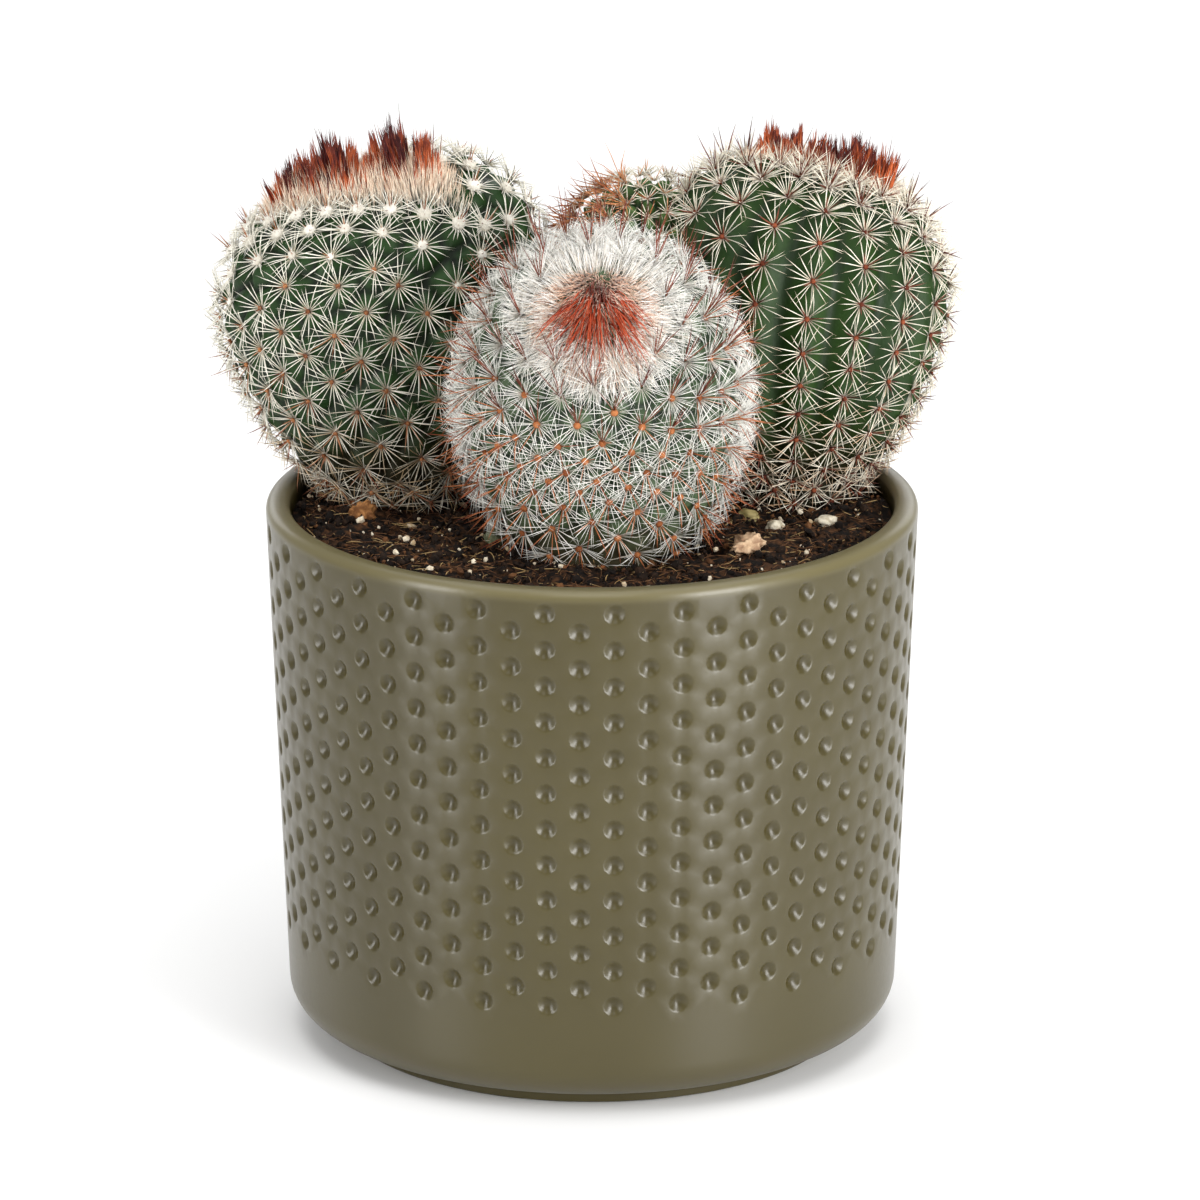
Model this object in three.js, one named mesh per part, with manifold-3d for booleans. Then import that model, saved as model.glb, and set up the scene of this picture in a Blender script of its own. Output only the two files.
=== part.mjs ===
// Potted silver ball cactus: three spiny heads and a small offset in a dimpled, glazed cover pot.
// Millimetres, +Z up. The origin is the centre of the pot's flat foot, and the front looks along -Y.
import * as THREE from "three";
import { mergeVertices } from "three/addons/utils/BufferGeometryUtils.js";
import Module from "manifold-3d";

const wasm = await Module();
wasm.setup();

// Pot
const POT_HEIGHT = 118;
const RIM_RADIUS = 70;
const WALL_TAPER = 0.038; // radius lost for each millimetre below the rim
const WALL = 5.2;
const LIP_ROUND = 2.4;
const CORNER_ROUND = 8;
const FOOT_RADIUS = 55;
const FOOT_HEIGHT = 2.6;
const FOOT_CHAMFER = 0.6;
const FLOOR_THICKNESS = 6;
const DIMPLE_COLUMNS = 60;
const DIMPLE_ROWS = 12; // in every other column, and one fewer between
const DIMPLE_TOP = 4.9; // first dimple's centre below the rim
const DIMPLE_PITCH = 7.93;
const DIMPLE_RADIUS = 2.2;
const DIMPLE_DEPTH = 1.1;
const DIMPLE_TURN = 3.85; // degrees from the front to the first full column

// Soil
const SOIL_LEVEL = 114;
const SOIL_SWELL = 0.8; // how far the surface rolls up and down
const SOIL_SIDES = 24;
const GAP = 0.35; // clearance between pieces that touch
const STEM_DEPTH = 11; // how far each stem goes below the surface
const HOLE_SIDES = 14;
const HOLE_CLEARANCE = 0.9; // between a stem and the corners of its hole

// Spines
const AREOLE_RADIUS = 0.85;
const AREOLE_LIFT = 0.5;
const SPINES_PER_AREOLE = 3;
const SHORTEST_SPINE = 1.2;
const SPINE_CLEARANCE = 0.9; // between the spines of neighbouring areoles
const PLANE_CLEARANCE = 0.5; // to the planes between heads
const SOIL_CLEARANCE = 1.2;
const RIM_CLEARANCE = 1.5;
const POT_CLEARANCE = 6; // inwards from the pot's wall
const FOOT_MARGIN = 1.4; // from a stem out to the lowest row of its head
const SEAT_MARGIN = 2.5; // from a growing point's seat out to the highest row
const SHOOT_FOOT = 118; // degrees from the growing point to the lowest row of a shoot without a stem
const PAD_HEIGHT = 0.8; // straight side of the pad under a growing point
const SEED = 20731;

// Each head is an egg along a bent axis. Radius and half lengths are in millimetres, leans in degrees.
const HEADS = {
  head_front: {
    middle: [2, -23.5, 146.5],
    radius: [28.3, 28.5],
    above: 33,
    below: 40,
    footTaper: 1,
    leanTop: [0, -42],
    leanFoot: [0, 0],
    crest: 0,
    columns: 20,
    rows: 12,
    crown: 11,
    stem: 16,
    relief: 1.0,
    spine: 5,
    central: 7,
    rise: 34,
    turn: 0,
  },
  head_left: {
    middle: [-44.4, 25, 157],
    radius: [34.6, 31],
    above: 25,
    below: 48,
    footTaper: 1.25,
    leanTop: [-19, 8],
    leanFoot: [-2, 12],
    crest: 12,
    columns: 18,
    rows: 10,
    crown: 8.5,
    stem: 13.5,
    relief: 1.5,
    spine: 5.4,
    central: 5.4,
    rise: 30,
    turn: 8,
  },
  head_right: {
    middle: [44.5, 26, 157.5],
    radius: [30.5, 30],
    above: 25,
    below: 48,
    footTaper: 1.25,
    leanTop: [12, 10],
    leanFoot: [1.5, 11],
    crest: 7,
    columns: 18,
    rows: 14,
    crown: 8,
    stem: 13,
    relief: 1.8,
    spine: 5.4,
    central: 6.2,
    rise: 30,
    turn: 3,
    ribbed: true,
  },
};
const OFFSET = {
  middle: [12.5, 29, 166],
  radius: [15, 15],
  above: 12,
  below: 18,
  footTaper: 1,
  leanTop: [-40, -18],
  leanFoot: [-40, -18],
  crest: 0,
  columns: 10,
  rows: 5,
  crown: 4,
  stem: 0,
  relief: 1.0,
  spine: 3.4,
  central: 3.4,
  rise: 34,
  turn: 10,
};

// Woolly growing points: half length along and across the crest, spine lengths, and their lean.
const CROWNS = {
  crown_front: {
    head: "head_front",
    size: [10, 10],
    dome: 2,
    spine: 8,
    spread: 0.6,
    lean: 0.35,
    peaks: 0,
  },
  crown_left: {
    head: "head_left",
    size: [18.5, 7.5],
    dome: 2.4,
    spine: 9,
    spread: 0.25,
    lean: 0,
    peaks: 1,
  },
  crown_right: {
    head: "head_right",
    size: [14, 7.2],
    dome: 2.2,
    spine: 7.5,
    spread: 0.25,
    lean: 0,
    peaks: 0.4,
  },
};

// Loose bits on the soil: place, half sizes and colour.
const PEBBLES = [
  { at: [-20.5, -24], half: [3.2, 2.6, 2.2], colour: 0x6e7358 },
  { at: [33, -30.5], half: [4.2, 2.8, 2.4], colour: 0xc9a987 },
  { at: [39, -11.5], half: [2.2, 1.8, 1.5], colour: 0xd9d3c4 },
  { at: [33.5, -2.5], half: [2.6, 1.7, 1.5], colour: 0x9a8f62 },
  { at: [-49, -6], half: [2.7, 2.2, 2.1], colour: 0xb0713a },
  { at: [50, -9.5], half: [2.4, 1.6, 1.4], colour: 0xb8a583 },
];

// A small seeded generator, so that every build is the same.
function makeRandom(seed) {
  let state = seed;
  return () => {
    state = (state * 1664525 + 1013904223) % 4294967296;
    return state / 4294967296;
  };
}

// A closed skin of triangles, built vertex by vertex. Rings run anticlockwise as seen from above.
class Skin {
  constructor() {
    this.points = [];
    this.faces = [];
  }
  add(point) {
    this.points.push(point);
    return this.points.length - 1;
  }
  face(a, b, c) {
    this.faces.push(a, b, c);
  }
  distance(a, b) {
    return this.points[a].distanceTo(this.points[b]);
  }
  // Two open lines, left then right, each running upwards. An even zip keeps both ends in step.
  zip(left, right, even = false) {
    let i = 0;
    let j = 0;
    while (i < left.length - 1 || j < right.length - 1) {
      let leftNext = i < left.length - 1 ? this.distance(left[i + 1], right[j]) : Infinity;
      let rightNext = j < right.length - 1 ? this.distance(right[j + 1], left[i]) : Infinity;
      if (even) {
        leftNext = (i + 1) / (left.length - 1);
        rightNext = (j + 1) / (right.length - 1);
      }
      if (leftNext <= rightNext) {
        this.face(left[i], right[j], left[i + 1]);
        i += 1;
      } else {
        this.face(left[i], right[j], right[j + 1]);
        j += 1;
      }
    }
  }
  // Two closed rings of any counts: the outer or lower one, then the inner or upper one.
  band(lower, upper) {
    let first = 0;
    upper.forEach((v, i) => {
      if (this.distance(v, lower[0]) < this.distance(upper[first], lower[0])) first = i;
    });
    const top = [...upper.slice(first), ...upper.slice(0, first + 1)];
    this.zip(top, [...lower, lower[0]], true);
  }
  cap(centre, ring) {
    ring.forEach((v, i) => this.face(centre, v, ring[(i + 1) % ring.length]));
  }
  geometry() {
    const made = new THREE.BufferGeometry();
    const flat = this.points.flatMap((p) => [p.x, p.y, p.z]);
    made.setAttribute("position", new THREE.Float32BufferAttribute(flat, 3));
    made.setIndex(this.faces);
    return made;
  }
}

function toSolid(geometry) {
  const bare = new THREE.BufferGeometry();
  bare.setAttribute("position", geometry.getAttribute("position"));
  if (geometry.index) bare.setIndex(geometry.index);
  const merged = mergeVertices(bare, 1e-4);
  return new wasm.Manifold(
    new wasm.Mesh({
      numProp: 3,
      vertProperties: new Float32Array(merged.getAttribute("position").array),
      triVerts: new Uint32Array(merged.index.array),
    }),
  );
}

function toGeometry(solid) {
  const mesh = solid.getMesh();
  const made = new THREE.BufferGeometry();
  made.setAttribute("position", new THREE.Float32BufferAttribute(mesh.vertProperties, 3));
  made.setIndex(Array.from(mesh.triVerts));
  return made;
}

function polar(radius, degrees, z) {
  const angle = THREE.MathUtils.degToRad(degrees);
  return new THREE.Vector3(radius * Math.sin(angle), -radius * Math.cos(angle), z);
}

function wallRadius(z) {
  return RIM_RADIUS - WALL_TAPER * (POT_HEIGHT - z);
}

// One meridian of dimples: its left and right edges, from the smooth base up to the lip.
function dimpleColumn(skin, degrees, full, bottom, top) {
  const left = [bottom];
  const right = [bottom];
  const count = full ? DIMPLE_ROWS : DIMPLE_ROWS - 1;
  const start = POT_HEIGHT - DIMPLE_TOP - (full ? 0 : DIMPLE_PITCH / 2);
  const reach = THREE.MathUtils.radToDeg((DIMPLE_RADIUS * Math.sqrt(0.75)) / RIM_RADIUS);
  for (let i = count - 1; i >= 0; i -= 1) {
    const z = start - i * DIMPLE_PITCH;
    const low = z - DIMPLE_RADIUS / 2;
    const high = z + DIMPLE_RADIUS;
    const west = skin.add(polar(wallRadius(low), degrees - reach, low));
    const east = skin.add(polar(wallRadius(low), degrees + reach, low));
    const over = skin.add(polar(wallRadius(high), degrees, high));
    const pit = skin.add(polar(wallRadius(z) - DIMPLE_DEPTH, degrees, z));
    skin.cap(pit, [west, east, over]);
    skin.face(left.at(-1), east, west);
    left.push(west, over);
    right.push(east, over);
  }
  left.push(top);
  right.push(top);
  return { left, right };
}

function makePot() {
  const skin = new Skin();
  const step = 360 / DIMPLE_COLUMNS;
  const ring = (radius, z) =>
    Array.from({ length: DIMPLE_COLUMNS }, (_, i) => skin.add(polar(radius, DIMPLE_TURN + i * step, z)));
  const lipTop = POT_HEIGHT - LIP_ROUND;
  const cornerZ = FOOT_HEIGHT + CORNER_ROUND;
  const cornerRadius = wallRadius(cornerZ);
  const slant = CORNER_ROUND * Math.SQRT1_2;
  const below = POT_HEIGHT - DIMPLE_TOP - (DIMPLE_ROWS - 0.2) * DIMPLE_PITCH;
  const baseRing = ring(wallRadius(below), below);
  const lipRing = ring(wallRadius(lipTop), POT_HEIGHT - DIMPLE_TOP + DIMPLE_RADIUS + 0.4);
  const columns = baseRing.map((v, i) =>
    dimpleColumn(skin, DIMPLE_TURN + i * step, i % 2 === 0, v, lipRing[i]),
  );
  columns.forEach((column, i) => skin.zip(column.right, columns[(i + 1) % DIMPLE_COLUMNS].left));
  const outside = [
    ring(FOOT_RADIUS - FOOT_CHAMFER, 0),
    ring(FOOT_RADIUS, FOOT_HEIGHT),
    ring(cornerRadius - CORNER_ROUND, FOOT_HEIGHT + 0.3),
    ring(cornerRadius - CORNER_ROUND + slant, cornerZ - slant),
    ring(cornerRadius, cornerZ),
    baseRing,
  ];
  const inner = RIM_RADIUS - WALL;
  const innerFloor = FOOT_HEIGHT + FLOOR_THICKNESS;
  const inside = [
    lipRing,
    ring(RIM_RADIUS - LIP_ROUND * 0.3, POT_HEIGHT - LIP_ROUND * 0.3),
    ring(RIM_RADIUS - LIP_ROUND, POT_HEIGHT),
    ring(inner + LIP_ROUND * 0.6, POT_HEIGHT),
    ring(inner, POT_HEIGHT - LIP_ROUND * 0.7),
    ring(wallRadius(innerFloor) - WALL, innerFloor),
  ];
  const stack = (rings) => rings.slice(1).forEach((upper, i) => skin.band(rings[i], upper));
  stack(outside);
  stack(inside);
  skin.cap(skin.add(new THREE.Vector3(0, 0, innerFloor)), inside.at(-1));
  skin.cap(skin.add(new THREE.Vector3(0, 0, 0)), [...outside[0]].reverse());
  return skin.geometry();
}

function soilHeight(x, y) {
  return SOIL_LEVEL + SOIL_SWELL * (Math.sin(x / 9 + 1.3) * Math.cos(y / 8) + 0.5 * Math.sin(x / 4 - y / 5));
}

function direction(sideways, forwards) {
  const a = THREE.MathUtils.degToRad(sideways);
  const b = THREE.MathUtils.degToRad(forwards);
  return new THREE.Vector3(Math.tan(a), Math.tan(b), 1).normalize();
}

// The frame of a head at angle alpha from its growing point: ring centre, ring axes and ring radii.
function headFrame(head, alpha) {
  const along = Math.cos(alpha) * (alpha < Math.PI / 2 ? head.above : head.below);
  const foot = direction(...head.leanFoot);
  const top = direction(...head.leanTop);
  const bend = (s) => {
    const t = THREE.MathUtils.smoothstep(s, -head.below * 0.6, head.above);
    return foot.clone().lerp(top, t).normalize();
  };
  const steps = 12;
  const centre = new THREE.Vector3(...head.middle);
  for (let i = 0; i < steps; i += 1) {
    centre.addScaledVector(bend(((i + 0.5) / steps) * along), along / steps);
  }
  const axis = bend(along);
  const across = new THREE.Vector3(1, 0, 0).addScaledVector(axis, -axis.x).normalize();
  const away = axis.clone().cross(across);
  const upper = alpha < Math.PI / 2;
  const sine = upper ? Math.sin(alpha) : Math.sin(alpha) ** head.footTaper;
  const crest = upper ? head.crest * (1 - sine) : 0;
  return { centre, axis, across, away, radii: [head.radius[0] * sine + crest, head.radius[1] * sine] };
}

// A point on a head's smooth surface: turn in radians from the front, alpha from the growing point.
function headPoint(head, turn, alpha) {
  const { centre, across, away, radii } = headFrame(head, alpha);
  return centre
    .addScaledVector(across, radii[0] * Math.sin(turn))
    .addScaledVector(away, -radii[1] * Math.cos(turn));
}

// The surface's own axes at a point: round the head, towards the growing point, and out.
function headAxes(head, turn, alpha) {
  const e = 0.01;
  const round = headPoint(head, turn + e, alpha).sub(headPoint(head, turn - e, alpha)).normalize();
  const rise = headPoint(head, turn, alpha - e).sub(headPoint(head, turn, alpha + e)).normalize();
  const out = round.clone().cross(rise).normalize();
  return { round, rise: out.clone().cross(round), out };
}

// Angles from the growing point, evenly spaced along the flank from the foot up to the crown's edge.
function rowAngles(head) {
  const samples = 120;
  const centre = (alpha) => headFrame(head, alpha).centre;
  const width = (alpha) => headFrame(head, alpha).radii[1];
  const lowest = footAngle(head);
  const highest = crownAngle(head);
  const lengths = [0];
  for (let i = 1; i <= samples; i += 1) {
    const a = lowest + ((highest - lowest) * (i - 1)) / samples;
    const b = lowest + ((highest - lowest) * i) / samples;
    const step = Math.hypot(centre(a).distanceTo(centre(b)), width(a) - width(b));
    lengths.push(lengths[i - 1] + step);
  }
  return Array.from({ length: head.rows }, (_, k) => {
    const wanted = (lengths[samples] * k) / (head.rows - 1);
    const i = Math.max(1, lengths.findIndex((l) => l >= wanted - 1e-9));
    const part = (wanted - lengths[i - 1]) / (lengths[i] - lengths[i - 1]);
    return lowest + ((highest - lowest) * (i - 1 + part)) / samples;
  });
}

function footAngle(head) {
  if (!head.stem) return THREE.MathUtils.degToRad(SHOOT_FOOT);
  const share = (head.stem + FOOT_MARGIN) / head.radius[1];
  return Math.PI - Math.asin(share ** (1 / head.footTaper));
}

function crownAngle(head) {
  return Math.asin((head.crown + SEAT_MARGIN) / head.radius[1]);
}

// True where a spine's tip would foul the soil, the pot or the space of another head.
function fouls(point, walls) {
  if (point.z < soilHeight(point.x, point.y) + SOIL_CLEARANCE) return true;
  const outside = Math.hypot(point.x, point.y) > RIM_RADIUS - WALL - POT_CLEARANCE;
  if (outside && point.z < POT_HEIGHT + RIM_CLEARANCE) return true;
  return walls.some((wall) => wall.distanceToPoint(point) < PLANE_CLEARANCE);
}

// True where a spine would touch one that stands already on another areole.
function crosses(spine, spines) {
  const probe = new THREE.Vector3();
  const nearest = new THREE.Vector3();
  return spines.some((other) =>
    [0, 0.25, 0.5, 0.75, 1].some((share) => {
      spine.at(share, probe);
      other.closestPointToPoint(probe, true, nearest);
      return nearest.distanceTo(probe) < SPINE_CLEARANCE;
    }),
  );
}

// Planes halfway between heads that stand close to each other.
function partingWalls() {
  const walls = Object.fromEntries(Object.keys(HEADS).map((name) => [name, []]));
  const names = Object.keys(HEADS);
  names.forEach((a) =>
    names.forEach((b) => {
      if (a === b) return;
      const from = new THREE.Vector3(...HEADS[b].middle);
      const to = new THREE.Vector3(...HEADS[a].middle);
      const normal = to.clone().sub(from).normalize();
      const [ra, rb] = [HEADS[a].radius[0], HEADS[b].radius[0]];
      const gap = to.distanceTo(from) - ra - rb;
      const point = from.addScaledVector(normal, rb + gap / 2);
      walls[a].push(new THREE.Plane().setFromNormalAndCoplanarPoint(normal, point));
    }),
  );
  return walls;
}

// A tuft of three-sided spines in the place of one areole, stitched to the loop of skin round it.
function addAreole(plan, turn, alpha, loop) {
  const { skin, head, random, walls, spines } = plan;
  const { round, rise, out } = headAxes(head, turn, alpha);
  const centre = headPoint(head, turn, alpha).addScaledVector(out, head.relief + AREOLE_LIFT);
  const heading = (angle) =>
    round.clone().multiplyScalar(Math.cos(angle)).addScaledVector(rise, Math.sin(angle));
  const first = THREE.MathUtils.degToRad(10 + 14 * (random() - 0.5));
  const step = (2 * Math.PI) / SPINES_PER_AREOLE;
  const foot = Array.from({ length: SPINES_PER_AREOLE }, (_, i) =>
    skin.add(centre.clone().addScaledVector(heading(first + i * step), AREOLE_RADIUS)),
  );
  const heart = skin.add(centre);
  const tuft = [];
  skin.band(loop, foot);
  foot.forEach((a, i) => {
    const b = foot[(i + 1) % SPINES_PER_AREOLE];
    const central = i === 1;
    const angle = first + (i + 0.5) * step;
    let length = (central ? head.central : head.spine) * (0.88 + 0.24 * random());
    const lift = THREE.MathUtils.degToRad(head.rise + 10 * (random() - 0.5) + (central ? 12 : 0));
    const root = centre.clone().addScaledVector(heading(angle), AREOLE_RADIUS * 0.4);
    const spineAt = () => {
      const tip = root
        .clone()
        .addScaledVector(heading(angle), length * Math.cos(lift))
        .addScaledVector(out, length * Math.sin(lift));
      return new THREE.Line3(root, tip);
    };
    const blocked = () => fouls(spineAt().end, walls) || crosses(spineAt(), spines);
    while (length > SHORTEST_SPINE && blocked()) length *= 0.9;
    const spine = spineAt();
    tuft.push(spine);
    const tip = skin.add(spine.end);
    skin.face(heart, a, tip);
    skin.face(a, b, tip);
    skin.face(b, heart, tip);
  });
  spines.push(...tuft);
}

// The grid of a ball: areoles stand on tubercles, and each row is half a step round from the last.
function tubercledGrid(plan) {
  const { skin, head } = plan;
  const step = (2 * Math.PI) / head.columns;
  const rows = rowAngles(head);
  const turn0 = THREE.MathUtils.degToRad(head.turn);
  const turnOf = (k, i) => turn0 + (i + (k % 2) / 2) * step;
  const dips = rows.map((alpha, k) =>
    Array.from({ length: head.columns }, (_, i) => {
      const turn = turnOf(k, i + 0.5);
      const { out } = headAxes(head, turn, alpha);
      return skin.add(headPoint(head, turn, alpha).addScaledVector(out, -head.relief));
    }),
  );
  const wrap = (i) => (i + head.columns) % head.columns;
  const last = rows.length - 1;
  // Dips of the rows below and above stand straight under and over an areole.
  const near = (k, i, other) => dips[other][wrap(k % 2 ? i : i - 1)];
  rows.forEach((alpha, k) => {
    if (k === 0 || k === last) return;
    for (let i = 0; i < head.columns; i += 1) {
      const loop = [dips[k][i], near(k, i, k + 1), dips[k][wrap(i - 1)], near(k, i, k - 1)];
      addAreole(plan, turnOf(k, i), alpha, loop);
    }
  });
  // The end rows close with plain flats between their dips and the next row's.
  const close = (k, inner) => {
    for (let i = 0; i < head.columns; i += 1) {
      const a = dips[k][wrap(i - 1)];
      const b = dips[k][i];
      const c = near(k, i, inner);
      if (inner > k) skin.face(a, b, c);
      else skin.face(b, a, c);
    }
  };
  close(0, 1);
  close(last, last - 1);
  return { foot: dips[0], top: dips[last] };
}

// The grid of a ribbed ball: areoles on the ribs, alternately high and low, with a furrow between ribs.
function ribbedGrid(plan) {
  const { skin, head } = plan;
  const step = (2 * Math.PI) / head.columns;
  const rows = rowAngles(head);
  const turn0 = THREE.MathUtils.degToRad(head.turn);
  const last = rows.length - 1;
  const wrap = (i) => (i + head.columns) % head.columns;
  const place = (turn, alpha, height) => {
    const { out } = headAxes(head, turn, alpha);
    return skin.add(headPoint(head, turn, alpha).addScaledVector(out, height));
  };
  const isAreole = (k, i) => k > 0 && k < last && (k + i) % 2 === 1;
  const furrows = rows.map((alpha) =>
    Array.from({ length: head.columns }, (_, i) => place(turn0 + (i + 0.5) * step, alpha, -head.relief)),
  );
  const crests = rows.map((alpha, k) =>
    Array.from({ length: head.columns }, (_, i) =>
      isAreole(k, i) ? null : place(turn0 + i * step, alpha, head.relief * 0.55),
    ),
  );
  for (let k = 0; k < last; k += 1) {
    for (let i = 0; i < head.columns; i += 1) {
      const east = [furrows[k][i], furrows[k + 1][i]];
      const west = [furrows[k][wrap(i - 1)], furrows[k + 1][wrap(i - 1)]];
      const low = crests[k][i];
      const high = crests[k + 1][i];
      if (low === null) {
        skin.face(east[0], east[1], high);
        skin.face(west[1], west[0], high);
      } else if (high === null) {
        skin.face(low, east[0], east[1]);
        skin.face(low, west[1], west[0]);
      } else {
        skin.face(low, east[0], east[1]);
        skin.face(low, east[1], high);
        skin.face(low, high, west[1]);
        skin.face(low, west[1], west[0]);
      }
    }
  }
  rows.forEach((alpha, k) => {
    for (let i = 0; i < head.columns; i += 1) {
      if (!isAreole(k, i)) continue;
      const loop = [furrows[k][i], crests[k + 1][i], furrows[k][wrap(i - 1)], crests[k - 1][i]];
      addAreole(plan, turn0 + i * step, alpha, loop);
    }
  });
  const edge = (k) => furrows[k].flatMap((v, i) => [crests[k][i], v]);
  return { foot: edge(0), top: edge(last) };
}

function makeHead(head, random, walls) {
  const skin = new Skin();
  const grid = head.ribbed ? ribbedGrid : tubercledGrid;
  const { foot, top } = grid({ skin, head, random, walls, spines: [] });
  const ringAt = (radii, frame, shift) =>
    Array.from({ length: head.columns }, (_, i) => {
      const turn = THREE.MathUtils.degToRad(head.turn) + (i * 2 * Math.PI) / head.columns;
      return skin.add(
        frame.centre
          .clone()
          .addScaledVector(frame.axis, shift)
          .addScaledVector(frame.across, radii[0] * Math.sin(turn))
          .addScaledVector(frame.away, -radii[1] * Math.cos(turn)),
      );
    });
  const crown = crownFrame(head);
  const brim = ringAt([head.crown + head.crest, head.crown], crown, 0);
  skin.band(top, brim);
  skin.cap(skin.add(crown.centre.clone()), brim);
  if (head.stem) {
    const [x, y] = stemPlace(head);
    const round = (z) =>
      Array.from({ length: head.columns }, (_, i) => {
        const p = polar(head.stem, head.turn + (i * 360) / head.columns, z);
        return skin.add(p.add(new THREE.Vector3(x, y, 0)));
      });
    const neck = round(SOIL_LEVEL + SOIL_SWELL * 1.5 + 0.4);
    const end = round(SOIL_LEVEL - STEM_DEPTH);
    skin.band(neck, foot);
    skin.band(end, neck);
    skin.cap(skin.add(new THREE.Vector3(x, y, SOIL_LEVEL - STEM_DEPTH)), [...end].reverse());
  } else {
    const frame = headFrame(head, footAngle(head));
    skin.cap(skin.add(frame.centre.addScaledVector(frame.axis, -1)), [...foot].reverse());
  }
  return skin.geometry();
}

// The flat seat under a growing point.
function crownFrame(head) {
  return headFrame(head, Math.asin(head.crown / head.radius[1]));
}

// The middle of a head's stem where it enters the soil.
function stemPlace(head) {
  const foot = direction(...head.leanFoot);
  const drop = (head.middle[2] - SOIL_LEVEL) / foot.z;
  return [head.middle[0] - foot.x * drop, head.middle[1] - foot.y * drop];
}

// A growing point: a low woolly pad whose every facet is drawn out into a young spine.
function makeCrown(crown, head, random) {
  const skin = new Skin();
  const frame = crownFrame(head);
  const sides = 13;
  const levels = [1, 0.72, 0.42];
  const place = (share, height, offset) =>
    Array.from({ length: sides }, (_, i) => {
      const turn = ((i + offset) * 2 * Math.PI) / sides;
      return skin.add(
        frame.centre
          .clone()
          .addScaledVector(frame.axis, height)
          .addScaledVector(frame.across, crown.size[0] * share * Math.sin(turn))
          .addScaledVector(frame.away, -crown.size[1] * share * Math.cos(turn)),
      );
    });
  const base = place(0.92, GAP, 0);
  skin.cap(skin.add(frame.centre.clone().addScaledVector(frame.axis, GAP)), [...base].reverse());
  const brim = GAP + PAD_HEIGHT;
  const rings = levels.map((share, k) => place(share, brim + crown.dome * (1 - share), k / 2));
  skin.band(base, rings[0]);
  const from = skin.faces.length;
  skin.band(rings[0], rings[1]);
  skin.band(rings[1], rings[2]);
  skin.cap(skin.add(frame.centre.clone().addScaledVector(frame.axis, brim + crown.dome)), rings[2]);
  const facets = skin.faces.splice(from);
  for (let f = 0; f < facets.length; f += 3) {
    const corners = facets.slice(f, f + 3);
    const [a, b, c] = corners.map((v) => skin.points[v]);
    const middle = a.clone().add(b).add(c).divideScalar(3);
    const outward = middle.clone().sub(frame.centre);
    const sideways = outward.clone().addScaledVector(frame.axis, -outward.dot(frame.axis));
    const along = sideways.dot(frame.across) / crown.size[0];
    const peak = 1 - crown.peaks * 0.55 * (1 - Math.abs(Math.sin(along * Math.PI * 0.8 + 0.25)));
    const length = crown.spine * peak * (0.75 + 0.5 * random());
    const heading = frame.axis
      .clone()
      .addScaledVector(sideways, crown.spread / Math.max(...crown.size))
      .addScaledVector(frame.away, -crown.lean)
      .addScaledVector(frame.across, 0.16 * (random() - 0.5))
      .normalize();
    const tip = skin.add(middle.addScaledVector(heading, length));
    corners.forEach((v, i) => skin.face(v, corners[(i + 1) % 3], tip));
  }
  return skin.geometry();
}

function makePebble(pebble, index, grow) {
  const solid = new THREE.IcosahedronGeometry(1, 0);
  const [x, y] = pebble.at;
  const z = soilHeight(x, y) + pebble.half[2] * 0.35;
  return solid
    .rotateZ(index * 1.7)
    .rotateX(index * 0.9)
    .scale(...pebble.half.map((h) => h + grow))
    .rotateZ(index * 2.3)
    .translate(x, y, z);
}

function makeSoil() {
  const skin = new Skin();
  const inner = (z) => wallRadius(z) - WALL - GAP;
  const shares = [1, 0.82, 0.62, 0.4, 0.2];
  const floor = FOOT_HEIGHT + FLOOR_THICKNESS + GAP;
  const ring = (radius, level) =>
    Array.from({ length: SOIL_SIDES }, (_, i) => {
      const p = polar(radius, (i * 360) / SOIL_SIDES, 0);
      p.z = level ?? soilHeight(p.x, p.y);
      return skin.add(p);
    });
  const chord = Math.cos(Math.PI / DIMPLE_COLUMNS); // keeps the rim of the soil inside the pot's flats
  const rings = [ring(inner(floor) * chord - 0.1, floor)];
  shares.forEach((share) => rings.push(ring(inner(SOIL_LEVEL) * chord * share)));
  rings.slice(1).forEach((upper, i) => skin.band(rings[i], upper));
  const middle = new THREE.Vector3(0, 0, soilHeight(0, 0));
  skin.cap(skin.add(middle), rings.at(-1));
  skin.cap(skin.add(new THREE.Vector3(0, 0, floor)), [...rings[0]].reverse());
  let solid = toSolid(skin.geometry());
  Object.values(HEADS).forEach((head) => {
    const [x, y] = stemPlace(head);
    const length = STEM_DEPTH + GAP + 8;
    const radius = head.stem + HOLE_CLEARANCE;
    const hole = new THREE.CylinderGeometry(radius, radius, length, HOLE_SIDES)
      .rotateX(Math.PI / 2)
      .translate(x, y, SOIL_LEVEL - STEM_DEPTH - GAP + length / 2);
    solid = solid.subtract(toSolid(hole));
  });
  PEBBLES.forEach((pebble, i) => {
    solid = solid.subtract(toSolid(makePebble(pebble, i, GAP)));
  });
  return toGeometry(solid);
}

function addMesh(group, name, geometry, colour, roughness) {
  const material = new THREE.MeshStandardMaterial({ color: colour, roughness, metalness: 0 });
  const mesh = new THREE.Mesh(geometry, material);
  mesh.name = name;
  group.add(mesh);
}

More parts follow.
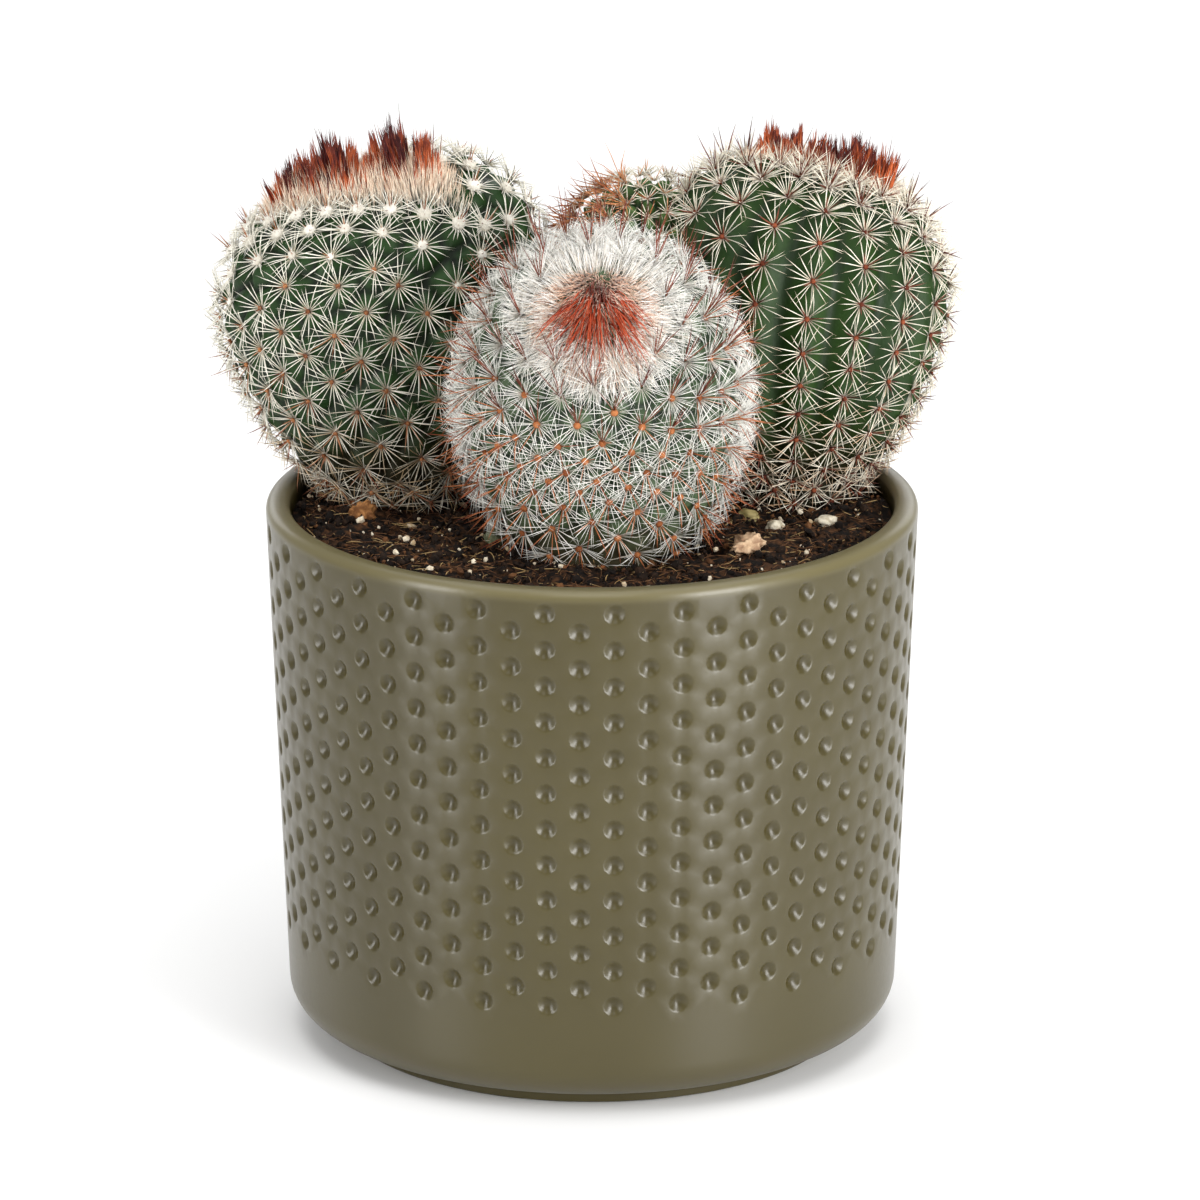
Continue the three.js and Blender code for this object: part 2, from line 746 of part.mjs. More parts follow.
const cactus = new THREE.Group();
const walls = partingWalls();
addMesh(cactus, "pot", makePot(), 0x6b6346, 0.42);
addMesh(cactus, "soil", makeSoil(), 0x2a1c14, 0.95);
Object.entries(HEADS).forEach(([name, head], i) => {
  let geometry = makeHead(head, makeRandom(SEED + i), walls[name]);
  if (name === "head_right") {
    const shoot = makeHead(OFFSET, makeRandom(SEED + 9), walls[name]);
    geometry = toGeometry(toSolid(geometry).add(toSolid(shoot)));
  }
  addMesh(cactus, name, geometry, name === "head_right" ? 0x3f6a3a : 0x5d7a68, 0.7);
});
Object.entries(CROWNS).forEach(([name, crown], i) => {
  addMesh(cactus, name, makeCrown(crown, HEADS[crown.head], makeRandom(SEED + 20 + i)), 0x9a4a33, 0.7);
});
PEBBLES.forEach((pebble, i) => {
  addMesh(cactus, `pebble_${i + 1}`, makePebble(pebble, i, 0), pebble.colour, 0.85);
});

export default cactus;
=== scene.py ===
# Potted silver ball cactus: the looks of the glazed pot, the soil and its litter, the three spiny heads
# with their woolly growing points, and a plain studio. Lengths are in millimetres until a mesh is made.
import math

import bmesh
import bpy
import numpy as np
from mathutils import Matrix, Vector, geometry, noise


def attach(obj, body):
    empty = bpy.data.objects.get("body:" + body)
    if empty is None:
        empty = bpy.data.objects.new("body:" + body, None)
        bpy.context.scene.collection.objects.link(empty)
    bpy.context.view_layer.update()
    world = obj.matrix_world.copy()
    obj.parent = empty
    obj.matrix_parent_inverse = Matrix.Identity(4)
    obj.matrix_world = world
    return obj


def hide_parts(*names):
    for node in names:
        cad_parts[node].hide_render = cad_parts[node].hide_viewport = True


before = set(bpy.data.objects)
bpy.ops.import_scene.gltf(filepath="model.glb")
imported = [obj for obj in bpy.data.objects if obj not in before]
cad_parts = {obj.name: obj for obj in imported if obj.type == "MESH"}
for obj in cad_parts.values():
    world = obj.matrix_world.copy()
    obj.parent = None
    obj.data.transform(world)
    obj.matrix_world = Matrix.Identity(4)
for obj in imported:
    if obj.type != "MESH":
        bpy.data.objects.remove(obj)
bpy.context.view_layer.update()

bl_info = {
    "name": "Potted ball cactus",
    "version": (1, 0, 0),
    "blender": (4, 5, 0),
    "location": "View3D > Sidebar > Cactus",
    "description": "Dresses a clump of spiny ball cactus heads in a dimpled, glazed cover pot",
    "category": "Add Mesh",
}

MM = 0.001
FULL_TURN = 2 * math.pi
GOLDEN_TURN = math.pi * (3 - math.sqrt(5))
SEED = 4127

# Pot, as in the solid that it stands for
POT_HEIGHT = 118
RIM_RADIUS = 70
WALL_TAPER = 0.038
WALL = 5.2
FOOT_RADIUS = 55
FOOT_HEIGHT = 3.6
INNER_FLOOR = 8.6
CORNER_ROUND = 8
LIP_OUTER_ROUND = 2.1
LIP_INNER_ROUND = 1.7
DIMPLE_TURN = math.radians(3.85)
DIMPLE_STEP = math.radians(6)
DIMPLE_ROWS = 12
DIMPLE_TOP = 4.9
DIMPLE_PITCH = 7.93
DIMPLE_REACH = 2.35
DIMPLE_DEPTH = 1.15
DIMPLE_RINGS = (0.55, 1.05, 1.5, 1.9, 2.2, 2.45)
DIMPLE_STEPS = 12
PATTERN_RADIUS = 68
SECTORS = round(FULL_TURN / DIMPLE_STEP / 2)
RIM_STEPS_PER_SECTOR = 8

# Soil
SOIL_LEVEL = 114
SOIL_SWELL = 0.8
SOIL_COLUMNS = 260
SOIL_RINGS = 62
STEM_DEPTH = 11
SEAM = 0.35

# Heads: steps along a head's bent axis, the angle at which a head without a stem ends, how far from the
# growing point the cushions on a stem count as being, and the ribs of the right head
AXIS_STEPS = 12
BARE_FOOT = math.radians(118)
SKIRT_DOWN = 70.0
RIBS = 18
FIRST_RIB = math.radians(3)

# Spines and hairs: the share of its length below which a spine that meets the soil or the pot is left out,
# and where along them their rings of points lie
SHORTEST = 0.3
WOOL_STOPS = (0.0, 0.5)
AWL_STOPS_FINE = (0.0, 0.35, 0.7)
AWL_STOPS = (0.0, 0.4, 0.75)

# Growing points: the bristles in a tuft of a crest, how far a crest's wool reaches, the last angle at which
# its rings have cushions, and the hairs and bristles of the front head's whorl
CREST_BRISTLES = 18
CREST_REACH = 6.5
CREST_LIMIT = 1.5
PEACH_HAIRS = 2600
WHITE_HAIRS = 4200
DRAPE_BRISTLES = 190
DRAPE_RADIUS = 4.8
HOOD_BRISTLES = 60

# Camera: where the photograph was taken from and the point at its middle, in metres, and its focal length
CAMERA_PLACE = (0.0, -1.6862, 0.6175)
CAMERA_AIM = (0.0017, -0.0066, 0.09676)
PHOTO_PIXELS = 1200
FOCAL_PIXELS = 8200
SENSOR = 36


def srgb(red, green, blue):
    """A colour given as 0 to 255, in Blender's linear values."""
    def linear(value):
        value /= 255
        return value / 12.92 if value <= 0.04045 else ((value + 0.055) / 1.055) ** 2.4
    return (linear(red), linear(green), linear(blue))


def unit(vectors):
    """Vectors of length 1 along the last axis."""
    return vectors / np.linalg.norm(vectors, axis=-1, keepdims=True)


def smoothstep(low, high, value):
    """A smooth rise from 0 to 1 between two limits."""
    share = np.clip((value - low) / (high - low), 0, 1)
    return share * share * (3 - 2 * share)


def lean(sideways, backwards):
    """The upright, leaning by these angles in degrees: to the right and away from the viewer."""
    return unit(np.array([math.tan(math.radians(sideways)), math.tan(math.radians(backwards)), 1.0]))


def circle(turns):
    """Level unit vectors, counted from the front over the right."""
    turns = np.asarray(turns)
    return np.stack([np.sin(turns), -np.cos(turns), np.zeros_like(turns)], -1)


def scatter(random, count, size):
    """Random vectors of up to this size in each direction."""
    return (random.random((count, 3)) - 0.5) * 2 * size


def soil_height(x, y):
    """Height of the soil's gentle waves."""
    wave = np.sin(x / 9 + 1.3) * np.cos(y / 8) + 0.5 * np.sin(x / 4 - y / 5)
    return SOIL_LEVEL + SOIL_SWELL * wave


def wall_radius(z):
    """Radius of the pot's tapered wall at a height."""
    return RIM_RADIUS - WALL_TAPER * (POT_HEIGHT - z)


# Meshes


def make_object(name, points, faces, smooth=True, attributes=None):
    """A mesh object from points in millimetres, with float attributes on its points."""
    mesh = bpy.data.meshes.new(name)
    mesh.from_pydata((np.asarray(points) * MM).tolist(), [], np.asarray(faces).tolist())
    for key, values in (attributes or {}).items():
        layer = mesh.attributes.new(key, "FLOAT", "POINT")
        layer.data.foreach_set("value", np.asarray(values, np.float32))
    mesh.polygons.foreach_set("use_smooth", np.full(len(mesh.polygons), smooth))
    mesh.update()
    piece = bpy.data.objects.new(name, mesh)
    bpy.context.scene.collection.objects.link(piece)
    return piece


def dress(piece, material, slot, *nodes):
    """Gives a piece its material, puts it on the part's body and hides the solids that it stands for."""
    piece.data.materials.append(material)
    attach(piece, "root")
    if nodes:
        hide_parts(*nodes)


def ring_surface(rings, start=None, end=None):
    """Points and triangles between closed rings, upwards on the outside, closed to a start or end point."""
    rings = np.asarray(rings, float)
    rows, columns = rings.shape[:2]
    row, column = np.meshgrid(np.arange(rows - 1), np.arange(columns), indexing="ij")
    low = row * columns + column
    low_next = row * columns + (column + 1) % columns
    faces = [np.stack([low, low_next, low_next + columns], -1).reshape(-1, 3)]
    faces.append(np.stack([low, low_next + columns, low + columns], -1).reshape(-1, 3))
    points = [rings.reshape(-1, 3)]
    around = np.arange(columns)
    after = (around + 1) % columns
    if start is not None:
        faces.append(np.stack([after, around, np.full(columns, rows * columns)], -1))
        points.append([start])
    if end is not None:
        top = (rows - 1) * columns
        pole = rows * columns + (start is not None)
        faces.append(np.stack([top + around, top + after, np.full(columns, pole)], -1))
        points.append([end])
    return np.concatenate(points), np.concatenate(faces)


class Strands:
    """Tapered and slightly bent spines or hairs, three-sided, gathered into one mesh."""

    def __init__(self, stops=(0.0, 0.6)):
        self.stops = np.array(stops)
        self.points = []
        self.along = []
        self.shade = []
        self.count = 0

    def add(self, root, way, length, width, bend, shade):
        """Roots and ways are rows of vectors. Bend moves the tip sideways, as a share of the length."""
        amount = len(root)
        length = np.broadcast_to(length, amount)[:, None]
        width = np.broadcast_to(width, amount)[:, None]
        helper = np.where(np.abs(way[:, 2:3]) < 0.9, [[0.0, 0.0, 1.0]], [[1.0, 0.0, 0.0]])
        side = unit(np.cross(way, helper))
        other = np.cross(way, side)
        rows = []
        for stop in self.stops:
            centre = root + way * length * stop + bend * length * stop ** 2
            girth = width * (1 - 0.4 * stop)
            for corner in range(3):
                angle = corner * FULL_TURN / 3
                rows.append(centre + girth * (math.cos(angle) * side + math.sin(angle) * other))
        rows.append(root + (way + bend) * length)
        self.points.append(np.stack(rows, 1).reshape(-1, 3))
        along = np.append(np.repeat(self.stops, 3), 1.0)
        self.along.append(np.tile(along, amount))
        self.shade.append(np.repeat(np.broadcast_to(shade, amount), len(along)))
        self.count += amount

    def build(self, name):
        rings = len(self.stops)
        tip = 3 * rings
        faces = [(0, 2, 1)]
        for low in range(tip - 3):
            low_next = low + 1 if low % 3 < 2 else low - 2
            faces += [(low, low_next, low_next + 3), (low, low_next + 3, low + 3)]
        faces += [(tip - 3, tip - 2, tip), (tip - 2, tip - 1, tip), (tip - 1, tip - 3, tip)]
        faces = np.array(faces)[None] + (np.arange(self.count) * (tip + 1))[:, None, None]
        attributes = {"along": np.concatenate(self.along), "shade": np.concatenate(self.shade)}
        points = np.concatenate(self.points)
        return make_object(name, points, faces.reshape(-1, 3), attributes=attributes)


class Lumps:
    """Small rounded lumps gathered into one mesh: crumbs, grit, stones and felted cushions."""

    def __init__(self, detail=1):
        ball = bmesh.new()
        bmesh.ops.create_icosphere(ball, subdivisions=detail, radius=1)
        self.ball = np.array([vertex.co for vertex in ball.verts])
        self.faces = np.array([[vertex.index for vertex in face.verts] for face in ball.faces])
        ball.free()
        self.points = []
        self.shade = []

    def roughen(self, swell, grain, seed):
        """Makes the common ball uneven, as a stone or a chip of bark is."""
        shift = Vector((seed * 7.3, 0, 0))
        broad = np.array([noise.noise(Vector(point) * 1.5 + shift) for point in self.ball])
        fine = np.array([noise.noise(Vector(point) * 5 + shift) for point in self.ball])
        self.ball = self.ball * (1 + swell * broad + grain * fine)[:, None]

    def add(self, centre, axes, sizes, shade, rough=0.0, random=None):
        """Axes hold three vectors for each lump, and sizes its three half lengths."""
        ball = np.broadcast_to(self.ball, (len(centre), *self.ball.shape))
        if rough:
            ball = ball * (1 + rough * (random.random((*ball.shape[:2], 1)) - 0.5))
        spread = np.einsum("nkc,nc,ncd->nkd", ball, sizes, axes)
        self.points.append((centre[:, None] + spread).reshape(-1, 3))
        self.shade.append(np.repeat(np.broadcast_to(shade, len(centre)), len(self.ball)))

    def build(self, name, smooth=True):
        points = np.concatenate(self.points)
        amount = len(points) // len(self.ball)
        faces = self.faces[None] + (np.arange(amount) * len(self.ball))[:, None, None]
        attributes = {"shade": np.concatenate(self.shade)}
        return make_object(name, points, faces.reshape(-1, 3), smooth, attributes)


# Shape of the heads


class HeadShape:
    """An egg along a bent axis, as in the solids. Turn goes round from the front, alpha down from the
    growing point."""

    def __init__(self, middle, radius, above, below, foot_taper, lean_top, lean_foot, crest, crown, stem):
        self.middle = np.array(middle, float)
        self.radius = radius
        self.above = above
        self.below = below
        self.foot_taper = foot_taper
        self.top = lean(*lean_top)
        self.foot = lean(*lean_foot)
        self.crest = crest
        self.crown = crown
        self.stem = stem

    def bend(self, along):
        """Way of the axis at a distance above the middle."""
        share = smoothstep(-self.below * 0.6, self.above, along)[..., None]
        return unit(self.foot * (1 - share) + self.top * share)

    def widths(self, alpha):
        """Half widths at an angle: sideways and forwards."""
        upper = alpha < math.pi / 2
        sine = np.where(upper, np.sin(alpha), np.abs(np.sin(alpha)) ** self.foot_taper)
        crest = np.where(upper, self.crest * (1 - sine), 0)
        return self.radius[0] * sine + crest, self.radius[1] * sine

    def point(self, turn, alpha):
        alpha = np.asarray(alpha, float)
        along = np.cos(alpha) * np.where(alpha < math.pi / 2, self.above, self.below)
        steps = (np.arange(AXIS_STEPS) + 0.5) / AXIS_STEPS
        ways = self.bend(along[:, None] * steps)
        centre = self.middle + (ways * (along / AXIS_STEPS)[:, None, None]).sum(1)
        axis = self.bend(along)
        across = unit(np.array([1.0, 0, 0]) - axis[:, :1] * axis)
        away = np.cross(axis, across)
        wide, deep = self.widths(alpha)
        return centre + across * (wide * np.sin(turn))[:, None] - away * (deep * np.cos(turn))[:, None]

    def axes(self, turn, alpha):
        """Unit vectors at a point of the surface: round the head, towards its growing point, and out."""
        step = 0.01
        round_head = unit(self.point(turn + step, alpha) - self.point(turn - step, alpha))
        rise = unit(self.point(turn, alpha - step) - self.point(turn, alpha + step))
        out = unit(np.cross(round_head, rise))
        return round_head, np.cross(out, round_head), out

    def locate(self, sideways, forwards):
        """Turn and alpha of the upper surface at these distances from the head's axis."""
        low = np.full(len(sideways), 1e-3)
        high = np.full(len(sideways), math.pi / 2)
        for _ in range(24):
            middle = (low + high) / 2
            wide, deep = self.widths(middle)
            outside = (sideways / wide) ** 2 + (forwards / deep) ** 2 > 1
            low = np.where(outside, middle, low)
            high = np.where(outside, high, middle)
        wide, deep = self.widths(high)
        return np.arctan2(sideways / wide, forwards / deep), high

    def foot_angle(self):
        """The angle at which the egg ends at its stem, or hidden behind another head."""
        if not self.stem:
            return BARE_FOOT
        return math.pi - math.asin(((self.stem + 1.4) / self.radius[1]) ** (1 / self.foot_taper))

    def flank(self, samples=400):
        """Angles from the foot up to the growing point, with the length and the area covered up to each."""
        alpha = np.linspace(self.foot_angle(), math.asin(self.crown * 0.6 / self.radius[1]), samples)
        front = self.point(np.zeros(samples), alpha)
        back = self.point(np.full(samples, math.pi), alpha)
        steps = [np.linalg.norm(np.diff(line, axis=0), axis=1) for line in (front, back)]
        step = (steps[0] + steps[1]) / 2
        wide, deep = self.widths(alpha)
        girth = FULL_TURN * np.sqrt((wide ** 2 + deep ** 2) / 2)
        length = np.append(0, np.cumsum(step))
        area = np.append(0, np.cumsum(step * (girth[1:] + girth[:-1]) / 2))
        return alpha, length, area

    def stem_place(self):
        """Where the stem enters the soil."""
        drop = (self.middle[2] - SOIL_LEVEL) / self.foot[2]
        return self.middle[0] - self.foot[0] * drop, self.middle[1] - self.foot[1] * drop


# Middle, radii, heights above and below it, taper to the foot, leans at the top and the foot, and the sizes
# of the crest, of the growing point and of the stem
HEADS = {
    "head_left": HeadShape([-44.4, 25, 157], [34.6, 31], 25, 48, 1.25, (-19, 8), (-2, 12), 12, 8.5, 13.5),
    "head_right": HeadShape([44.5, 26, 157.5], [30.5, 30], 25, 48, 1.25, (15, 10), (1.5, 11), 7, 8, 13),
    "head_front": HeadShape([2, -23.5, 146.5], [28.3, 28.5], 33, 40, 1, (-3, -49), (0, 0), 0, 11, 16),
    "offset": HeadShape([9.5, 29, 164.5], [16.5, 16], 13.5, 18, 1, (-40, -18), (-40, -18), 0, 4, 0),
}


class Areoles:
    """The cushions that spines grow from: places, surface axes, length from the growing point, and age,
    which is 0 at the growing point and 1 at the foot."""

    def __init__(self, base, axes, down, age, lift):
        self.base = base
        self.round, self.rise, self.out = axes
        self.lift = lift
        self.place = base + self.out * lift
        self.down = down
        self.age = age
        self.count = len(base)

    def pick(self, chosen):
        axes = (self.round[chosen], self.rise[chosen], self.out[chosen])
        return Areoles(self.base[chosen], axes, self.down[chosen], self.age[chosen], self.lift)

    def joined(self, other):
        def both(name):
            return np.concatenate([getattr(self, name), getattr(other, name)])
        axes = (both("round"), both("rise"), both("out"))
        return Areoles(both("base"), axes, both("down"), both("age"), self.lift)


def areoles_on(shape, turn, alpha, down, reach, lift):
    """Cushions at these angles, with their lengths from the growing point and that of the foot."""
    age = np.clip(down / reach, 0, 1)
    return Areoles(shape.point(turn, alpha), shape.axes(turn, alpha), down, age, lift)


def spiral_areoles(shape, cell, crowding, hand, lift):
    """Cushions in the golden spiral, evenly spread, and closer together near the growing point."""
    alpha, length, area = shape.flank()
    left = length[-1] - length
    weight = 1 + crowding * (1 - smoothstep(0, 18, left))
    covered = np.append(0, np.cumsum(np.diff(area) * (weight[1:] + weight[:-1]) / 2))
    count = int(covered[-1] / cell)
    wanted = (np.arange(count) + 0.5) * cell
    turn = hand * GOLDEN_TURN * np.arange(count)
    down = np.interp(wanted, covered, left)
    return areoles_on(shape, turn, np.interp(wanted, covered, alpha), down, length[-1], lift)


def ribbed_areoles(shape, ribs, first_turn, pitch_top, pitch_foot, lift):
    """Cushions along upright ribs, each rib a little out of step with the last."""
    alpha, length, _ = shape.flank()
    left = length[-1] - length
    pitch = pitch_foot + (pitch_top - pitch_foot) * smoothstep(0, length[-1] * 0.6, length)
    pitch = pitch * (0.5 + 0.5 * smoothstep(0, 14, left))
    number = np.append(0, np.cumsum(np.diff(length) / pitch[1:]))
    steps = [np.arange(0.2 + (rib * 0.6) % 1, number[-1] - 0.2) for rib in range(ribs)]
    turn = first_turn + np.repeat(np.arange(ribs), [len(step) for step in steps]) * FULL_TURN / ribs
    wanted = np.concatenate(steps)
    down = np.interp(wanted, number, left)
    return areoles_on(shape, turn, np.interp(wanted, number, alpha), down, length[-1], lift)


def skirt_areoles(shape, spacing, lift):
    """Two staggered rings of cushions on the stem, just above the soil."""
    radius = shape.stem + 1
    count = int(FULL_TURN * radius / spacing)
    number = np.arange(2 * count)
    ring = number // count
    turn = (number + 0.5 * ring) * FULL_TURN / count
    out = circle(turn)
    rise = np.tile([0.0, 0.0, 1.0], (2 * count, 1))
    base = out * radius + [*shape.stem_place(), SOIL_LEVEL + 2]
    base[:, 2] += 2.8 * ring
    down = np.full(2 * count, SKIRT_DOWN)
    return Areoles(base, (np.cross(rise, out), rise, out), down, np.ones(2 * count), lift)


def nearest_two(points, targets):
    """Distances from each point to its nearest and second nearest target."""
    squared = (points ** 2).sum(1)[:, None] + (targets ** 2).sum(1)[None] - 2 * points @ targets.T
    pair = np.partition(np.maximum(squared, 0), 1, axis=1)[:, :2]
    return np.sqrt(pair[:, 0]), np.sqrt(pair[:, 1])


def flesh_mesh(name, shape, areoles, relief, columns, rows, ribs=0, first_turn=0.0):
    """The green body: the egg with tubercles that rise to each cushion, or ribs, and its stem."""
    turn = first_turn + np.linspace(0, FULL_TURN, columns, endpoint=False)
    alpha = np.repeat(np.linspace(shape.foot_angle(), 0.03, rows), columns)
    turns = np.tile(turn, rows)
    base = shape.point(turns, alpha)
    out = shape.axes(turns, alpha)[2]
    first, second = nearest_two(base, areoles.base)
    if ribs:
        phase = (turns - first_turn) * ribs / FULL_TURN
        off = np.abs(phase - np.round(phase)) * 2
        height = 0.35 + 0.65 * np.cos(math.pi * off ** 1.25) + 0.5 * np.exp(-((first / 2.6) ** 2))
    else:
        height = 1.8 * np.clip((second - first) / 6.5, 0, 1) ** 0.62 - 0.9
    body = base + out * (height * relief * smoothstep(0.0, 0.35, alpha))[:, None]
    rings = body.reshape(rows, columns, 3)
    depth = np.clip((height + 1) / 2, 0, 1)
    age = np.clip(alpha / shape.foot_angle(), 0, 1)
    start = rings[0].mean(0)
    if shape.stem:
        x, y = shape.stem_place()
        neck = circle(turn) * shape.stem + [x, y, SOIL_LEVEL + 1.6]
        foot = circle(turn) * shape.stem + [x, y, SOIL_LEVEL - STEM_DEPTH]
        rings = np.concatenate([[foot, neck, (neck + rings[0]) / 2 - [0, 0, 0.3]], rings])
        # The stem's low depth gives its skin the painted furrow shade
        depth = np.append(np.full(3 * columns, 0.3), depth)
        age = np.append(np.ones(3 * columns), age)
        start = [x, y, SOIL_LEVEL - STEM_DEPTH]
    pole = shape.point(np.zeros(1), [0.0])[0]
    points, faces = ring_surface(rings, start, pole)
    attributes = {"depth": np.append(depth, [0.3, 0.5]), "age": np.append(age, [1, 0])}
    return make_object(name, points, faces, attributes=attributes)


# Spines and wool


def clear_lengths(root, way, bend, length):
    """Shortens what would run into the soil or through the pot's wall."""
    length = np.array(length, float)
    for _ in range(8):
        tip = root + (way + bend) * length[:, None]
        reach = np.hypot(tip[:, 0], tip[:, 1])
        buried = tip[:, 2] < soil_height(tip[:, 0], tip[:, 1]) + 0.3
        walled = (reach > RIM_RADIUS - WALL - 0.6) & (tip[:, 2] < POT_HEIGHT + 0.4)
        length[buried | walled] *= 0.8
    return length


def fan(areoles, number, lift, spread, random):
    """Ways that radiate from each cushion, as unit vectors, and the cushion that each stands on."""
    index = np.repeat(np.arange(areoles.count), number)
    phase = np.repeat(random.random(areoles.count), number)
    spoke = np.tile(np.arange(number), areoles.count)
    angle = FULL_TURN * ((spoke + 0.6 * (random.random(len(index)) - 0.5)) / number + phase)
    tilt = np.radians(lift + spread * (random.random(len(index)) - 0.5))
    flat = areoles.round[index] * np.cos(angle)[:, None] + areoles.rise[index] * np.sin(angle)[:, None]
    return index, unit(flat * np.cos(tilt)[:, None] + areoles.out[index] * np.sin(tilt)[:, None])


def add_radials(strands, areoles, random, number, length, lift, width, grow, droop=0.1, tan=0.0):
    """White or cream spines, spread like the rays of a star. Tan, from 0 to 1, stains them."""
    index, way = fan(areoles, number, lift, 18, random)
    grow = np.broadcast_to(grow, areoles.count)[index]
    size = length * grow * (0.76 + 0.44 * random.random(len(index)))
    bend = -areoles.out[index] * droop + scatter(random, len(index), 0.08)
    root = areoles.place[index] + way * 0.4
    size = clear_lengths(root, way, bend, size)
    shade = 0.5 * random.random(len(index)) + 0.5 * np.broadcast_to(tan, areoles.count)[index]
    girth = width * (0.8 + 0.4 * random.random(len(index)))
    keep = size > length * SHORTEST
    strands.add(root[keep], way[keep], size[keep], girth[keep], bend[keep], shade[keep])


def add_centrals(strands, areoles, random, number, length, lift, width, grow, pull=(0, 0, 0), bow=0.07):
    """The few stouter, darker spines in a cushion's middle. Pull turns them all one way."""
    index, way = fan(areoles, number, lift, 28, random)
    grow = np.broadcast_to(grow, areoles.count)[index]
    size = length * grow * (0.7 + 0.5 * random.random(len(index)))
    way = unit(way + np.broadcast_to(pull, (areoles.count, 3))[index])
    bend = scatter(random, len(index), bow)
    root = areoles.place[index]
    size = clear_lengths(root, way, bend, size)
    girth = width * (0.85 + 0.3 * random.random(len(index)))
    keep = size > length * SHORTEST
    strands.add(root[keep], way[keep], size[keep], girth[keep], bend[keep], random.random(keep.sum()))


def add_wool(strands, areoles, random, number, size, darkest):
    """Short curly hairs that make each cushion a woolly ball."""
    index = np.repeat(np.arange(areoles.count), number)
    ball = unit(random.normal(size=(len(index), 3)))
    local = ball[:, :1] * areoles.round[index] + ball[:, 1:2] * areoles.rise[index]
    way = unit(local + np.abs(ball[:, 2:]) * 0.9 * areoles.out[index])
    scale = np.broadcast_to(size, areoles.count)[index]
    root = areoles.place[index] + way * scale[:, None] * 0.35
    length = scale * (0.45 + 0.4 * random.random(len(index)))
    shade = darkest * random.random(len(index))
    strands.add(root, way, length, 0.07 + 0.02 * scale, scatter(random, len(index), 0.5), shade)


def make_cushions(name, material, slot, areoles, size, raised, random):
    """The felted cores of a head's cushions, as one piece."""
    lumps = Lumps(detail=2)
    axes = np.stack([areoles.round, areoles.rise, areoles.out], 1)
    size = np.broadcast_to(size, areoles.count)
    sizes = np.stack([size, size, size * 0.8], 1)
    lumps.add(areoles.place + areoles.out * raised, axes, sizes, random.random(areoles.count))
    dress(lumps.build(name), material, slot)


# Materials

BRISTLE_COLOURS = ("Root", "Middle", "Tip", "Stain")

# Spines and hairs: colours of the root, middle and tip, stain on old ones, roughness and sheen. The settings
# give the middle colour that is None
BRISTLES = {
    "spine_white": ((226, 216, 190), (240, 236, 222), (230, 222, 202), (206, 174, 132), 0.45, 0.15),
    "spine_tan": ((170, 112, 74), (170, 116, 82), (112, 62, 44), (190, 140, 110), 0.5, 0.0),
    "wool_white": ((222, 216, 202), (236, 232, 222), (242, 239, 232), (232, 222, 206), 0.85, 0.3),
    "spine_cream": ((226, 208, 180), (242, 236, 218), (228, 208, 178), (196, 152, 108), 0.45, 0.15),
    "spine_rust": ((126, 58, 38), (118, 62, 44), (76, 36, 28), (170, 120, 100), 0.45, 0.0),
    "wool_cream": ((226, 206, 180), (242, 232, 218), (248, 243, 235), (222, 200, 176), 0.85, 0.5),
    "spine_ginger": ((222, 178, 132), (204, 140, 94), (172, 104, 66), (200, 150, 120), 0.5, 0.0),
    "spine_glassy": ((228, 222, 208), (243, 241, 234), (240, 237, 228), (216, 190, 152), 0.4, 0.3),
    "spine_orange": ((196, 134, 86), (182, 108, 62), (140, 72, 42), (190, 140, 110), 0.45, 0.0),
    "spine_mahogany": ((176, 112, 80), (128, 62, 42), (84, 38, 30), (180, 130, 110), 0.45, 0.0),
    "crest_fire": ((230, 188, 146), None, (106, 32, 20), (160, 88, 72), 0.45, 0.0),
    "crest_peach": ((244, 240, 230), (240, 226, 206), (222, 168, 124), (226, 200, 176), 0.8, 0.4),
    "wool_blush": ((214, 150, 118), (234, 198, 172), (246, 234, 222), (222, 176, 148), 0.8, 0.4),
    "bristle_ember": ((140, 36, 12), None, (164, 84, 54), (150, 84, 70), 0.45, 0.0),
    "bristle_dusk": ((120, 42, 24), (116, 56, 42), (92, 52, 44), (150, 100, 90), 0.45, 0.0),
    "fibre_brown": ((60, 38, 24), (108, 72, 44), (140, 100, 64), (120, 100, 80), 0.8, 0.0),
    "fibre_straw": ((120, 92, 56), (186, 154, 102), (206, 180, 128), (150, 120, 90), 0.7, 0.0),
    "floss_white": ((240, 232, 220), (248, 245, 239), (250, 249, 246), (236, 226, 212), 0.7, 0.4),
}

# Skins: colours of the waxy bloom, of the painted shade in the furrows and on the stem, and of the corky
# foot
FLESH = {
    "flesh_grey_green": ((44, 72, 34), (8, 20, 6), (38, 34, 18)),
    "flesh_bright_green": ((38, 64, 18), (6, 18, 4), (36, 34, 15)),
    "flesh_young_green": ((98, 128, 70), (20, 38, 14), (50, 60, 28)),
    "flesh_pale_green": ((90, 108, 80), (22, 34, 22), (60, 56, 38)),
}

